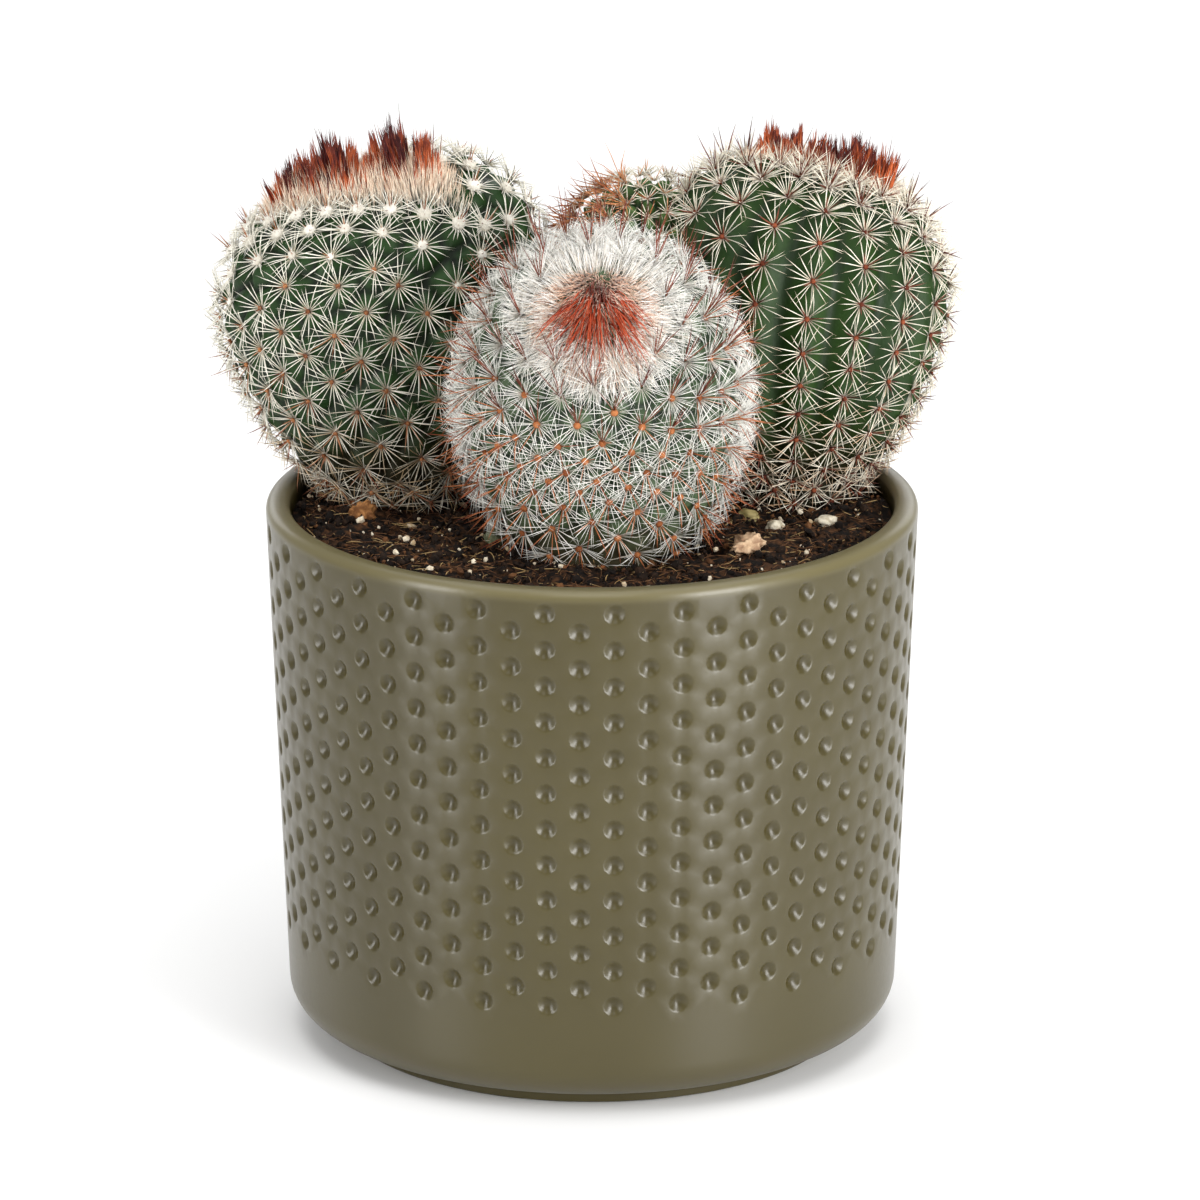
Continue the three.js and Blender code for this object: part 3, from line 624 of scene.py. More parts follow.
# Earths and felts: dark and light colour, scales of the broad and the fine spots, roughness and bump. The
# settings give the colours that are None
EARTHS = {
    "potting_mix": (None, None, 500, 1800, 0.92, 1.0),
    "mossy_stone": ((70, 76, 54), (112, 114, 86), 700, 2200, 0.8, 0.6),
    "bark_chip": ((134, 96, 70), (226, 196, 160), 400, 1500, 0.75, 0.9),
    "pale_stone": ((166, 152, 126), (230, 222, 202), 700, 2200, 0.7, 0.5),
    "seed_husk": ((110, 98, 56), (180, 164, 112), 500, 1800, 0.6, 0.5),
    "rusty_chip": ((90, 50, 24), (190, 134, 80), 600, 1800, 0.8, 1.0),
    "peat_crumb": (None, (46, 31, 20), 900, 2600, 0.95, 1.0),
    "bark_crumb": ((70, 44, 26), None, 700, 2400, 0.85, 0.8),
    "pale_grit": ((170, 146, 112), (232, 220, 196), 900, 2600, 0.7, 0.5),
    "felt_white": ((206, 200, 186), (232, 228, 218), 900, 2600, 0.95, 0.8),
    "felt_amber": ((104, 60, 34), (164, 110, 70), 900, 2600, 0.9, 0.6),
    "felt_rust": ((84, 36, 22), (132, 68, 42), 900, 2600, 0.9, 0.6),
    "felt_orange": ((120, 66, 34), (172, 108, 64), 900, 2600, 0.85, 0.6),
}


def build_group(name, inputs, outputs, wire):
    """A shader node group with named sockets, built once. Inputs are (name, socket type, default)."""
    tree = bpy.data.node_groups.get(name)
    if tree:
        return tree
    tree = bpy.data.node_groups.new(name, "ShaderNodeTree")
    for label, kind, default in inputs:
        socket = tree.interface.new_socket(name=label, in_out="INPUT", socket_type=kind)
        socket.default_value = default
    for label, kind in outputs:
        tree.interface.new_socket(name=label, in_out="OUTPUT", socket_type=kind)
    wire(tree, tree.nodes.new("NodeGroupInput"), tree.nodes.new("NodeGroupOutput"))
    return tree


def smooth_range(nodes, links, value, low, high):
    """A value's smooth rise from 0 to 1 between two limits, or its fall where low is above high."""
    node = nodes.new("ShaderNodeMapRange")
    node.interpolation_type = "SMOOTHSTEP"
    node.inputs["From Min"].default_value = low
    node.inputs["From Max"].default_value = high
    links.new(value, node.inputs["Value"])
    return node.outputs["Result"]


def feed(links, socket, value):
    """Links a node's output to a socket, or sets a plain number or colour on it."""
    if isinstance(value, bpy.types.NodeSocket):
        links.new(value, socket)
    elif isinstance(value, (int, float)):
        socket.default_value = value
    else:
        socket.default_value = (*value[:3], 1)


def mix_colour(nodes, links, factor, first, second, blend="MIX"):
    node = nodes.new("ShaderNodeMix")
    node.data_type = "RGBA"
    node.blend_type = blend
    for label, value in (("Factor", factor), ("A", first), ("B", second)):
        sockets = [socket for socket in node.inputs if socket.name == label and socket.enabled]
        feed(links, sockets[0], value)
    return [socket for socket in node.outputs if socket.enabled][0]


def calculate(nodes, links, operation, first, second):
    node = nodes.new("ShaderNodeMath")
    node.operation = operation
    feed(links, node.inputs[0], first)
    feed(links, node.inputs[1], second)
    return node.outputs[0]


def attribute_value(nodes, name):
    node = nodes.new("ShaderNodeAttribute")
    node.attribute_name = name
    return node.outputs["Fac"]


def wire_mottle(tree, given, result):
    """Two sizes of soft spots in object space, as a mask and as a height."""
    nodes, links = tree.nodes, tree.links
    place = nodes.new("ShaderNodeTexCoord")
    broad = nodes.new("ShaderNodeTexNoise")
    fine = nodes.new("ShaderNodeTexNoise")
    broad.inputs["Detail"].default_value = 3
    fine.inputs["Detail"].default_value = 6
    for node, label in ((broad, "Broad"), (fine, "Fine")):
        links.new(place.outputs["Object"], node.inputs["Vector"])
        links.new(given.outputs[label], node.inputs["Scale"])
    links.new(smooth_range(nodes, links, broad.outputs["Fac"], 0.35, 0.65), result.inputs["Mask"])
    links.new(fine.outputs["Fac"], result.inputs["Height"])


def wire_bristle(tree, given, result):
    """The colour along a spine or hair, from its root to its tip, each a little different."""
    nodes, links = tree.nodes, tree.links
    along = attribute_value(nodes, "along")
    shade = attribute_value(nodes, "shade")
    moved = calculate(nodes, links, "ADD", along, calculate(nodes, links, "MULTIPLY", shade, 0.25))
    low = smooth_range(nodes, links, moved, 0.05, 0.5)
    high = smooth_range(nodes, links, moved, 0.6, 1.1)
    colour = mix_colour(nodes, links, low, given.outputs["Root"], given.outputs["Middle"])
    colour = mix_colour(nodes, links, high, colour, given.outputs["Tip"])
    dark = mix_colour(nodes, links, 1.0, colour, given.outputs["Stain"], "MULTIPLY")
    stained = smooth_range(nodes, links, shade, 0.55, 1.0)
    links.new(mix_colour(nodes, links, stained, colour, dark), result.inputs["Colour"])


def mottle_group():
    inputs = [("Broad", "NodeSocketFloat", 60.0), ("Fine", "NodeSocketFloat", 900.0)]
    outputs = [("Mask", "NodeSocketFloat"), ("Height", "NodeSocketFloat")]
    return build_group("mottle", inputs, outputs, wire_mottle)


def bristle_group():
    inputs = [(label, "NodeSocketColor", (1, 1, 1, 1)) for label in BRISTLE_COLOURS]
    return build_group("bristle_tint", inputs, [("Colour", "NodeSocketColor")], wire_bristle)


def start_material(name, broad, fine):
    """A material with its shader and a mottle to colour and roughen it."""
    material = bpy.data.materials.new(name)
    material.use_nodes = True
    nodes, links = material.node_tree.nodes, material.node_tree.links
    spots = nodes.new("ShaderNodeGroup")
    spots.node_tree = mottle_group()
    spots.inputs["Broad"].default_value = broad
    spots.inputs["Fine"].default_value = fine
    mask, height = spots.outputs["Mask"], spots.outputs["Height"]
    return material, nodes, links, nodes["Principled BSDF"], mask, height


def roughen(nodes, links, shader, height, low, spread, bump):
    """Roughness that varies with a height, and a bump of that height with this strength."""
    varied = calculate(nodes, links, "MULTIPLY", height, spread)
    links.new(calculate(nodes, links, "ADD", varied, low), shader.inputs["Roughness"])
    node = nodes.new("ShaderNodeBump")
    node.inputs["Strength"].default_value = bump
    node.inputs["Distance"].default_value = 0.0002
    links.new(height, node.inputs["Height"])
    links.new(node.outputs["Normal"], shader.inputs["Normal"])


def bristle_material(name, middle=None):
    """Spines and hairs, coloured along their length."""
    *colours, roughness, sheen = BRISTLES[name]
    colours = [middle if colour is None else srgb(*colour) for colour in colours]
    material, nodes, links, shader, _, height = start_material(name, 400, 2500)
    tint = nodes.new("ShaderNodeGroup")
    tint.node_tree = bristle_group()
    for label, colour in zip(BRISTLE_COLOURS, colours):
        feed(links, tint.inputs[label], colour)
    links.new(tint.outputs["Colour"], shader.inputs["Base Color"])
    roughen(nodes, links, shader, height, roughness - 0.08, 0.16, 0.2)
    shader.inputs["Sheen Weight"].default_value = sheen
    shader.inputs["Specular IOR Level"].default_value = 0.35
    return material


def flesh_material(name, skin):
    """Cactus skin: a waxy bloom in spots, painted shade in furrows and on the stem, corky towards the foot.
    """
    bloom, furrow_shade, cork = (srgb(*colour) for colour in FLESH[name])
    material, nodes, links, shader, mask, height = start_material(name, 120, 1400)
    depth = attribute_value(nodes, "depth")
    age = attribute_value(nodes, "age")
    colour = mix_colour(nodes, links, calculate(nodes, links, "MULTIPLY", mask, 0.6), skin, bloom)
    # Painted shade: the skin darkens to the furrow colour where the relief is low
    colour = mix_colour(nodes, links, smooth_range(nodes, links, depth, 0.7, 0.1), colour, furrow_shade)
    colour = mix_colour(nodes, links, smooth_range(nodes, links, age, 0.8, 1.0), colour, cork)
    links.new(colour, shader.inputs["Base Color"])
    roughen(nodes, links, shader, height, 0.36, 0.3, 0.35)
    shader.inputs["Specular IOR Level"].default_value = 0.22
    return material


def glaze_material(colour, pooled, lip_highlight):
    """Satin glaze: uneven in tone, darker where it pools, a painted highlight on the lip, its shine drawn
    upright.
    """
    material, nodes, links, shader, mask, height = start_material("olive_glaze", 35, 900)
    depth = attribute_value(nodes, "depth")
    tone = mix_colour(nodes, links, calculate(nodes, links, "MULTIPLY", mask, 0.4), colour, pooled)
    tone = mix_colour(nodes, links, smooth_range(nodes, links, depth, 0.2, 1.0), tone, pooled)
    level = nodes.new("ShaderNodeSeparateXYZ")
    links.new(nodes.new("ShaderNodeNewGeometry").outputs["Position"], level.inputs["Vector"])
    # Painted highlight: the top of the lip is mixed halfway towards a pale colour
    lip = smooth_range(nodes, links, level.outputs["Z"], (POT_HEIGHT - 3.2) * MM, (POT_HEIGHT - 0.6) * MM)
    tone = mix_colour(nodes, links, calculate(nodes, links, "MULTIPLY", lip, 0.5), tone, lip_highlight)
    links.new(tone, shader.inputs["Base Color"])
    roughen(nodes, links, shader, height, 0.29, 0.08, 0.05)
    turned = nodes.new("ShaderNodeTangent")
    turned.direction_type = "RADIAL"
    turned.axis = "Z"
    links.new(turned.outputs["Tangent"], shader.inputs["Tangent"])
    shader.inputs["Anisotropic"].default_value = 0.75
    shader.inputs["Anisotropic Rotation"].default_value = 0.25
    return material


def earth_material(name, dark=None, light=None):
    """Soil, grit, bark and felt: two tones in spots, each lump its own shade, and a rough surface."""
    own_dark, own_light, broad, fine, roughness, bump = EARTHS[name]
    dark = dark if own_dark is None else srgb(*own_dark)
    light = light if own_light is None else srgb(*own_light)
    material, nodes, links, shader, mask, height = start_material(name, broad, fine)
    share = calculate(nodes, links, "MULTIPLY", mask, 0.5)
    share = calculate(nodes, links, "ADD", share, attribute_value(nodes, "shade"))
    tone = mix_colour(nodes, links, smooth_range(nodes, links, share, 0.2, 1.3), dark, light)
    links.new(tone, shader.inputs["Base Color"])
    roughen(nodes, links, shader, height, roughness - 0.1, 0.2, bump)
    shader.inputs["Specular IOR Level"].default_value = 0.25
    return material


def studio_material(colour):
    material, nodes, links, shader, mask, height = start_material("studio_floor", 3, 300)
    tone = mix_colour(nodes, links, mask, colour, tuple(part * 0.99 for part in colour))
    links.new(tone, shader.inputs["Base Color"])
    roughen(nodes, links, shader, height, 0.7, 0.1, 0.02)
    return material


# Pot


def dimple_points(x, z):
    """A round dimple: its middle and the rings round it, as (x, z, depth)."""
    points = [(x, z, DIMPLE_DEPTH)]
    for radius in DIMPLE_RINGS:
        depth = DIMPLE_DEPTH * max(0.0, 1 - (radius / DIMPLE_REACH) ** 2) ** 1.3
        for step in range(DIMPLE_STEPS):
            angle = math.pi / 2 + FULL_TURN * step / DIMPLE_STEPS
            points.append((x + radius * math.cos(angle), z + radius * math.sin(angle), depth))
    return points


def pattern_limits():
    """Heights at which the dimpled wall begins and ends."""
    low = POT_HEIGHT - DIMPLE_TOP - (DIMPLE_ROWS - 0.4) * DIMPLE_PITCH
    return low, POT_HEIGHT - LIP_OUTER_ROUND


def dimple_pattern():
    """A column of dimples between two halves: turns, heights, depths and triangles."""
    low, high = pattern_limits()
    width = DIMPLE_STEP * PATTERN_RADIUS
    points = []
    for row in range(DIMPLE_ROWS):
        z = POT_HEIGHT - DIMPLE_TOP - row * DIMPLE_PITCH
        last = row == DIMPLE_ROWS - 1
        points += dimple_points(0, z)
        if not last:
            points.append((0, z - DIMPLE_PITCH / 2, 0))
        for side in (-1, 1):
            points.append((side * width / 2, z - DIMPLE_PITCH / 4, 0))
            points.append((side * width / 2, z + (DIMPLE_PITCH / 4 if row else 1.2), 0))
            points.append((side * width, z, 0))
            if not last:
                points += dimple_points(side * width, z - DIMPLE_PITCH / 2)
    for step in range(RIM_STEPS_PER_SECTOR + 1):
        x = width * (2 * step / RIM_STEPS_PER_SECTOR - 1)
        points += [(x, low, 0), (x, high, 0)]
    spots = {(round(x, 4), round(z, 4)): depth for x, z, depth in points if abs(x) <= width + 1e-6}
    keys = list(spots)
    made = geometry.delaunay_2d_cdt([Vector(key) for key in keys], [], [], 0, 1e-6)
    order = [keys[origin[0]] for origin in made[3]]
    turns = np.array([x for x, _ in order]) / PATTERN_RADIUS
    heights = np.array([z for _, z in order])
    return turns, heights, np.array([spots[key] for key in order]), np.array(made[2])


def arc(centre, radius, start, end, steps):
    """Points of a round in the pot's profile, as radius and height, without its first point."""
    angles = np.radians(np.linspace(start, end, steps + 1)[1:])
    return [(centre[0] + radius * math.cos(a), centre[1] + radius * math.sin(a)) for a in angles]


def lip_profile(high):
    """From the top of the pattern over the lip and down the inside."""
    rim = wall_radius(high)
    inner = RIM_RADIUS - WALL
    profile = [(rim, high)]
    profile += arc((rim - LIP_OUTER_ROUND, high), LIP_OUTER_ROUND, 0, 90, 7)
    profile += [(inner + LIP_INNER_ROUND + 0.6, POT_HEIGHT + 0.05)]
    profile += arc((inner + LIP_INNER_ROUND, POT_HEIGHT - LIP_INNER_ROUND), LIP_INNER_ROUND, 90, 180, 6)
    profile += [(wall_radius(z) - WALL, z) for z in (112, 90, 60, 30, 12)]
    return profile + [(wall_radius(INNER_FLOOR) - WALL - 3, INNER_FLOOR), (20, INNER_FLOOR)]


def base_profile(low):
    """From under the pot over its foot and round corner up to the foot of the pattern."""
    corner_z = FOOT_HEIGHT + CORNER_ROUND
    corner = wall_radius(corner_z)
    profile = [(20, 0), (FOOT_RADIUS - 0.6, 0), (FOOT_RADIUS - 0.2, 0.15), (FOOT_RADIUS, 0.6)]
    profile += [(FOOT_RADIUS, FOOT_HEIGHT - 0.5), (FOOT_RADIUS + 0.5, FOOT_HEIGHT)]
    profile += arc((corner - CORNER_ROUND, corner_z), CORNER_ROUND, -93, 0, 10)
    return profile + [(wall_radius(15), 15), (wall_radius(low), low)]


def lathe(profile, turns, **ends):
    """A profile, given as radius and height, turned round the pot's axis."""
    rings = [circle(turns) * radius + [0, 0, z] for radius, z in profile]
    return ring_surface(rings, **ends)


def weld(points, faces, depth):
    """Joins points that lie on each other."""
    _, first, where = np.unique(np.round(points, 3), axis=0, return_index=True, return_inverse=True)
    faces = where.reshape(-1)[faces]
    whole = (faces[:, 0] != faces[:, 1]) & (faces[:, 1] != faces[:, 2]) & (faces[:, 2] != faces[:, 0])
    return points[first], faces[whole], depth[first]


def make_pot(settings):
    """The pot as one closed mesh: dimpled wall, lip with the inside, and base with the foot."""
    turns, heights, depths, triangles = dimple_pattern()
    low, high = pattern_limits()
    shells = []
    radius = (wall_radius(heights) - depths * settings.dimple_depth)[:, None]
    for sector in range(SECTORS):
        points = circle(DIMPLE_TURN + turns + sector * 2 * DIMPLE_STEP) * radius
        points[:, 2] = heights
        shells.append((points, triangles, depths / DIMPLE_DEPTH))
    steps = SECTORS * RIM_STEPS_PER_SECTOR
    rim_turns = DIMPLE_TURN - DIMPLE_STEP + np.arange(steps) * FULL_TURN / steps
    lip = lathe(lip_profile(high), rim_turns, end=[0, 0, INNER_FLOOR])
    base = lathe(base_profile(low), rim_turns, start=[0, 0, 0])
    shells += [(points, faces, np.zeros(len(points))) for points, faces in (lip, base)]
    starts = np.cumsum([0] + [len(shell[0]) for shell in shells])
    points = np.concatenate([shell[0] for shell in shells])
    faces = np.concatenate([shell[1] + start for shell, start in zip(shells, starts)])
    points, faces, depth = weld(points, faces, np.concatenate([shell[2] for shell in shells]))
    pot = make_object("pot_glazed", points, faces, attributes={"depth": depth})
    dress(pot, glaze_material(settings.glaze, settings.pooled_glaze, settings.lip_highlight_glaze), "glaze", "pot")


# Soil and litter


def make_soil(settings):
    """The bed of potting mix, with a crumbly top that dips a little at the wall."""
    random = np.random.default_rng(SEED + 1)
    edge = wall_radius(SOIL_LEVEL) - WALL - SEAM
    turns = np.linspace(0, FULL_TURN, SOIL_COLUMNS, endpoint=False)
    start = [0, 0, INNER_FLOOR + SEAM]
    rings = [circle(turns) * (wall_radius(INNER_FLOOR) - WALL - SEAM - 3.2) + start]
    for radius in edge * np.linspace(1, 0.004, SOIL_RINGS) ** 0.85:
        ring = circle(turns) * radius
        rough = [noise.fractal(Vector((x / 2.2, y / 2.2, 0)), 0.8, 2.0, 4) for x, y, _ in ring]
        broad = [noise.noise(Vector((x / 11, y / 11, 5))) for x, y, _ in ring]
        ring[:, 2] = soil_height(ring[:, 0], ring[:, 1]) + 0.8 * np.array(rough) + 1.1 * np.array(broad)
        ring[:, 2] -= 1.2 * smoothstep(edge - 7, edge, radius)
        rings.append(ring)
    points, faces = ring_surface(rings, start, [0, 0, float(soil_height(0, 0))])
    soil = make_object("soil_bed", points, faces, attributes={"shade": 0.35 * random.random(len(points))})
    dress(soil, earth_material("potting_mix", settings.peat, settings.bark), "soil", "soil")


def open_ground(random, count):
    """Random places on the soil that no stem stands on."""
    edge = wall_radius(SOIL_LEVEL) - WALL - 2
    tries = count * 3
    places = circle(random.random(tries) * FULL_TURN)[:, :2] * edge * np.sqrt(random.random((tries, 1)))
    clear = np.ones(len(places), bool)
    for shape in HEADS.values():
        if shape.stem:
            clear &= np.hypot(*(places - shape.stem_place()).T) > shape.stem + 1
    return places[clear][:count]


def random_axes(random, count, flat):
    """Three perpendicular vectors for each lump; flat, from 0 to 1, brings the third one upright."""
    first = unit(random.normal(size=(count, 3)) * [1, 1, 1 - flat])
    helper = unit(random.normal(size=(count, 3)) * [1, 1, 1 - flat])
    third = unit(np.cross(first, helper))
    return np.stack([first, np.cross(third, first), third], 1)


def make_crumbs(name, material, random, count, sizes, flat=0.0, shade=(0, 1), raised=0.5):
    """Loose crumbs of one colour over the open soil, as one piece."""
    places = open_ground(random, count)
    half = sizes[0] + (sizes[1] - sizes[0]) * random.random((len(places), 1)) ** 3
    half = half * (0.6 + 0.8 * random.random((len(places), 3)))
    z = soil_height(places[:, 0], places[:, 1]) + half[:, 2] * 0.3 + raised
    lumps = Lumps()
    tone = shade[0] + (shade[1] - shade[0]) * random.random(len(places))
    axes = random_axes(random, len(places), flat)
    lumps.add(np.column_stack([places, z]), axes, half, tone, 0.6, random)
    dress(lumps.build(name, smooth=False), material, "soil")


def make_fibres(name, material, random, count, length, width):
    """Bits of root and fibre that lie and curl on the soil, as one piece."""
    places = open_ground(random, count)
    root = np.column_stack([places, soil_height(places[:, 0], places[:, 1]) + 0.6])
    way = unit(random.normal(size=root.shape) * [1, 1, 0.35])
    bend = random.normal(size=root.shape) * [0.5, 0.5, 0.1]
    bend[:, 2] -= way[:, 2]
    size = length * (0.3 + random.random(len(root)))
    reach = np.hypot(*(places + (way + bend)[:, :2] * size[:, None]).T)
    keep = reach < RIM_RADIUS - WALL - 1
    strands = Strands((0.0, 0.3, 0.55, 0.8))
    strands.add(root[keep], way[keep], size[keep], width, bend[keep], random.random(keep.sum()))
    dress(strands.build(name), material, "soil")


PEBBLES = {
    "pebble_1": {"at": (-20.5, -24), "half": (3.2, 2.6, 2.2), "kind": "mossy", "slot": "pebble"},
    "pebble_2": {"at": (33, -30.5), "half": (4.2, 2.8, 2.4), "kind": "chip", "slot": "chip"},
    "pebble_3": {"at": (39, -11.5), "half": (2.2, 1.8, 1.5), "kind": "pale", "slot": "pebble"},
    "pebble_4": {"at": (33.5, -2.5), "half": (2.6, 1.7, 1.5), "kind": "husk", "slot": "chip"},
    "pebble_5": {"at": (-49, -6), "half": (2.7, 2.2, 2.1), "kind": "rust", "slot": "chip"},
    "pebble_6": {"at": (50, -9.5), "half": (2.4, 1.6, 1.4), "kind": "pale", "slot": "pebble"},
}

# Each kind's material, and how much its surface swells and how much it is crinkled
PEBBLE_KINDS = {
    "mossy": ("mossy_stone", 0.3, 0.06),
    "chip": ("bark_chip", 0.55, 0.34),
    "pale": ("pale_stone", 0.3, 0.06),
    "husk": ("seed_husk", 0.3, 0.06),
    "rust": ("rusty_chip", 0.55, 0.34),
}


def make_pebbles():
    """The larger stones and bark chips, each standing for its solid."""
    materials = {kind: earth_material(facts[0]) for kind, facts in PEBBLE_KINDS.items()}
    for index, (node, facts) in enumerate(PEBBLES.items()):
        random = np.random.default_rng(SEED + 50 + index)
        x, y = facts["at"]
        half = np.array(facts["half"])
        kind = facts["kind"]
        _, swell, grain = PEBBLE_KINDS[kind]
        stone = Lumps(detail=4)
        stone.roughen(swell, grain, index + 1)
        centre = np.array([[x, y, float(soil_height(x, y)) + half[2] * 0.5]])
        stone.add(centre, random_axes(random, 1, 0.85), half[None], 0.5)
        dress(stone.build(f"{node}_{kind}"), materials[kind], facts["slot"], node)


def make_litter(settings):
    """Crumbs, bark, perlite and fibres on the soil."""
    random = np.random.default_rng(SEED + 2)
    peat = earth_material("peat_crumb", settings.peat)
    bark = earth_material("bark_crumb", light=settings.bark)
    make_crumbs("crumbs_peat", peat, random, 2500, (0.25, 1.05), shade=(0, 0.7))
    make_crumbs("crumbs_bark", bark, random, 600, (0.15, 0.8), flat=0.6)
    grit = earth_material("pale_grit")
    make_crumbs("grit_pale", grit, random, 260, (0.15, 0.8), shade=(0.1, 1), raised=0.9)
    make_fibres("fibres_brown", bristle_material("fibre_brown"), random, 1600, length=4.4, width=0.13)
    make_fibres("fibres_straw", bristle_material("fibre_straw"), random, 700, length=3.2, width=0.12)


# Heads, one after the other


def make_left(settings):
    """The large grey-green head, with star-like white spines and woolly upper cushions."""
    random = np.random.default_rng(SEED + 10)
    shape = HEADS["head_left"]
    slot = "flesh_grey"
    spiral = spiral_areoles(shape, cell=66, crowding=1.2, hand=-1, lift=1.5)
    rings = crest_rows(shape, CREST_LEFT, lift=1.5)
    spaced = nearest_two(spiral.place, rings.place)[0] > CREST_LEFT["room"]
    areoles = spiral.pick(spaced & (crest_distance(shape, CREST_LEFT, spiral) > 10)).joined(rings)
    body = flesh_mesh("head_left_flesh", shape, areoles, relief=1.5, columns=170, rows=90)
    dress(body, flesh_material("flesh_grey_green", settings.left_skin), slot, "head_left")
    areoles = areoles.joined(skirt_areoles(shape, spacing=7.5, lift=0.8))
    gap = crest_distance(shape, CREST_LEFT, areoles)
    areoles, gap = areoles.pick(gap > 6), gap[gap > 6]
    young = 1 - smoothstep(9, 26, gap)
    long = settings.spine_length
    rays = Strands()
    grow = (0.8 + 0.2 * smoothstep(6, 22, gap)) * long
    old = smoothstep(0.5, 1.0, areoles.age)
    add_radials(rays, areoles, random, number=21, length=7.3, lift=26, width=0.13, grow=grow, tan=old)
    dress(rays.build("head_left_rays"), bristle_material("spine_white"), slot)
    awls = Strands()
    add_centrals(awls, areoles, random, number=3, length=3.0, lift=62, width=0.16, grow=long)
    low = areoles.pick((areoles.age > 0.5) & (random.random(areoles.count) < 0.75))
    fall, rise = (0, 0, -0.8), (0, 0, 0.5)
    add_centrals(awls, low, random, number=3, length=7.0, lift=34, width=0.14, grow=long, pull=fall)
    near = areoles.pick(gap < 14)
    add_centrals(awls, near, random, number=2, length=6.0, lift=80, width=0.15, grow=long, pull=rise)
    dress(awls.build("head_left_awls"), bristle_material("spine_tan"), slot)
    wool = Strands(WOOL_STOPS)
    add_wool(wool, areoles, random, number=14, size=1.1 + 0.4 * young, darkest=0.4)
    fresh = areoles.pick(young > 0.02)
    fluffy = young[young > 0.02]
    add_wool(wool, fresh, random, number=44, size=1.3 + 1.4 * fluffy, darkest=0.4)
    dress(wool.build("head_left_wool"), bristle_material("wool_white"), slot)
    felt = earth_material("felt_white")
    make_cushions("head_left_puffs", felt, slot, fresh, 0.7 + 0.9 * fluffy, 0.6, random)
    grown = areoles.pick(young < 0.35)
    felt = earth_material("felt_amber")
    make_cushions("head_left_cushions", felt, slot, grown, 0.55, 0.7, random)


def make_right(settings):
    """The greener head with upright ribs, cream stars and short red-brown crosses."""
    random = np.random.default_rng(SEED + 11)
    shape = HEADS["head_right"]
    slot = "flesh_green"
    areoles = ribbed_areoles(shape, RIBS, FIRST_RIB, pitch_top=7.9, pitch_foot=5.6, lift=1.9)
    body = flesh_mesh("head_right_flesh", shape, areoles, 1.5, 180, 90, RIBS, FIRST_RIB)
    dress(body, flesh_material("flesh_bright_green", settings.right_skin), slot, "head_right")
    areoles = areoles.joined(skirt_areoles(shape, spacing=7.0, lift=0.8))
    gap = crest_distance(shape, CREST_RIGHT, areoles)
    areoles, gap = areoles.pick(gap > 5), gap[gap > 5]
    long = settings.spine_length
    rays = Strands()
    grow = (0.8 + 0.2 * smoothstep(5, 16, gap)) * long
    old = 0.1 + 0.7 * smoothstep(0.4, 0.95, areoles.age)
    near = areoles.pick(gap < 24)
    add_radials(rays, areoles, random, number=18, length=7.1, lift=24, width=0.13, grow=grow, tan=old)
    add_radials(rays, near, random, number=12, length=7.0, lift=50, width=0.11, grow=long)
    cream = bristle_material("spine_cream")
    dress(rays.build("head_right_rays"), cream, slot)
    awls = Strands()
    grow = (1.15 - 0.3 * areoles.age) * long
    high = areoles.pick(areoles.down < 17)
    add_centrals(awls, areoles, random, number=4, length=4.6, lift=42, width=0.2, grow=grow)
    rise = (0, 0, 0.45)
    add_centrals(awls, high, random, number=3, length=8.2, lift=58, width=0.17, grow=long, pull=rise)
    dress(awls.build("head_right_awls"), bristle_material("spine_rust"), slot)
    wool = Strands(WOOL_STOPS)
    young = 1 - smoothstep(6, 20, gap)
    add_wool(wool, areoles, random, number=12, size=1.0 + 0.9 * young, darkest=0.8)
    add_wool(wool, areoles.pick(gap < 16), random, number=44, size=2.3, darkest=0.3)
    fluff = bristle_material("wool_cream")
    dress(wool.build("head_right_wool"), fluff, slot)
    make_cushions("head_right_cushions", earth_material("felt_rust"), slot, areoles, 0.6, 0.5, random)
    make_offset(settings, random, cream, fluff)


def make_offset(settings, random, cream, fluff):
    """The small shoot between the heads: finger-like tubercles, woolly cushions and an orange tuft."""
    shape = HEADS["offset"]
    slot = "flesh_green"
    areoles = spiral_areoles(shape, cell=19, crowding=0.3, hand=1, lift=1.7)
    body = flesh_mesh("offset_flesh", shape, areoles, relief=2.8, columns=130, rows=66)
    dress(body, flesh_material("flesh_young_green", settings.offset_skin), slot)
    long = settings.spine_length
    rays = Strands()
    add_radials(rays, areoles, random, number=12, length=3.8, lift=34, width=0.11, grow=long, tan=0.4)
    dress(rays.build("offset_rays"), cream, slot)
    awls = Strands()
    add_centrals(awls, areoles, random, number=2, length=4.0, lift=55, width=0.13, grow=long)
    tuft = areoles.pick(areoles.down < 7)
    fall = (-0.5, -0.6, -0.3)
    add_centrals(awls, tuft, random, 16, length=7.0, lift=40, width=0.15, grow=long, pull=fall, bow=0.25)
    dress(awls.build("offset_awls"), bristle_material("spine_ginger"), slot)
    wool = Strands(WOOL_STOPS)
    add_wool(wool, areoles, random, number=10, size=1.0, darkest=0.7)
    dress(wool.build("offset_wool"), fluff, slot)


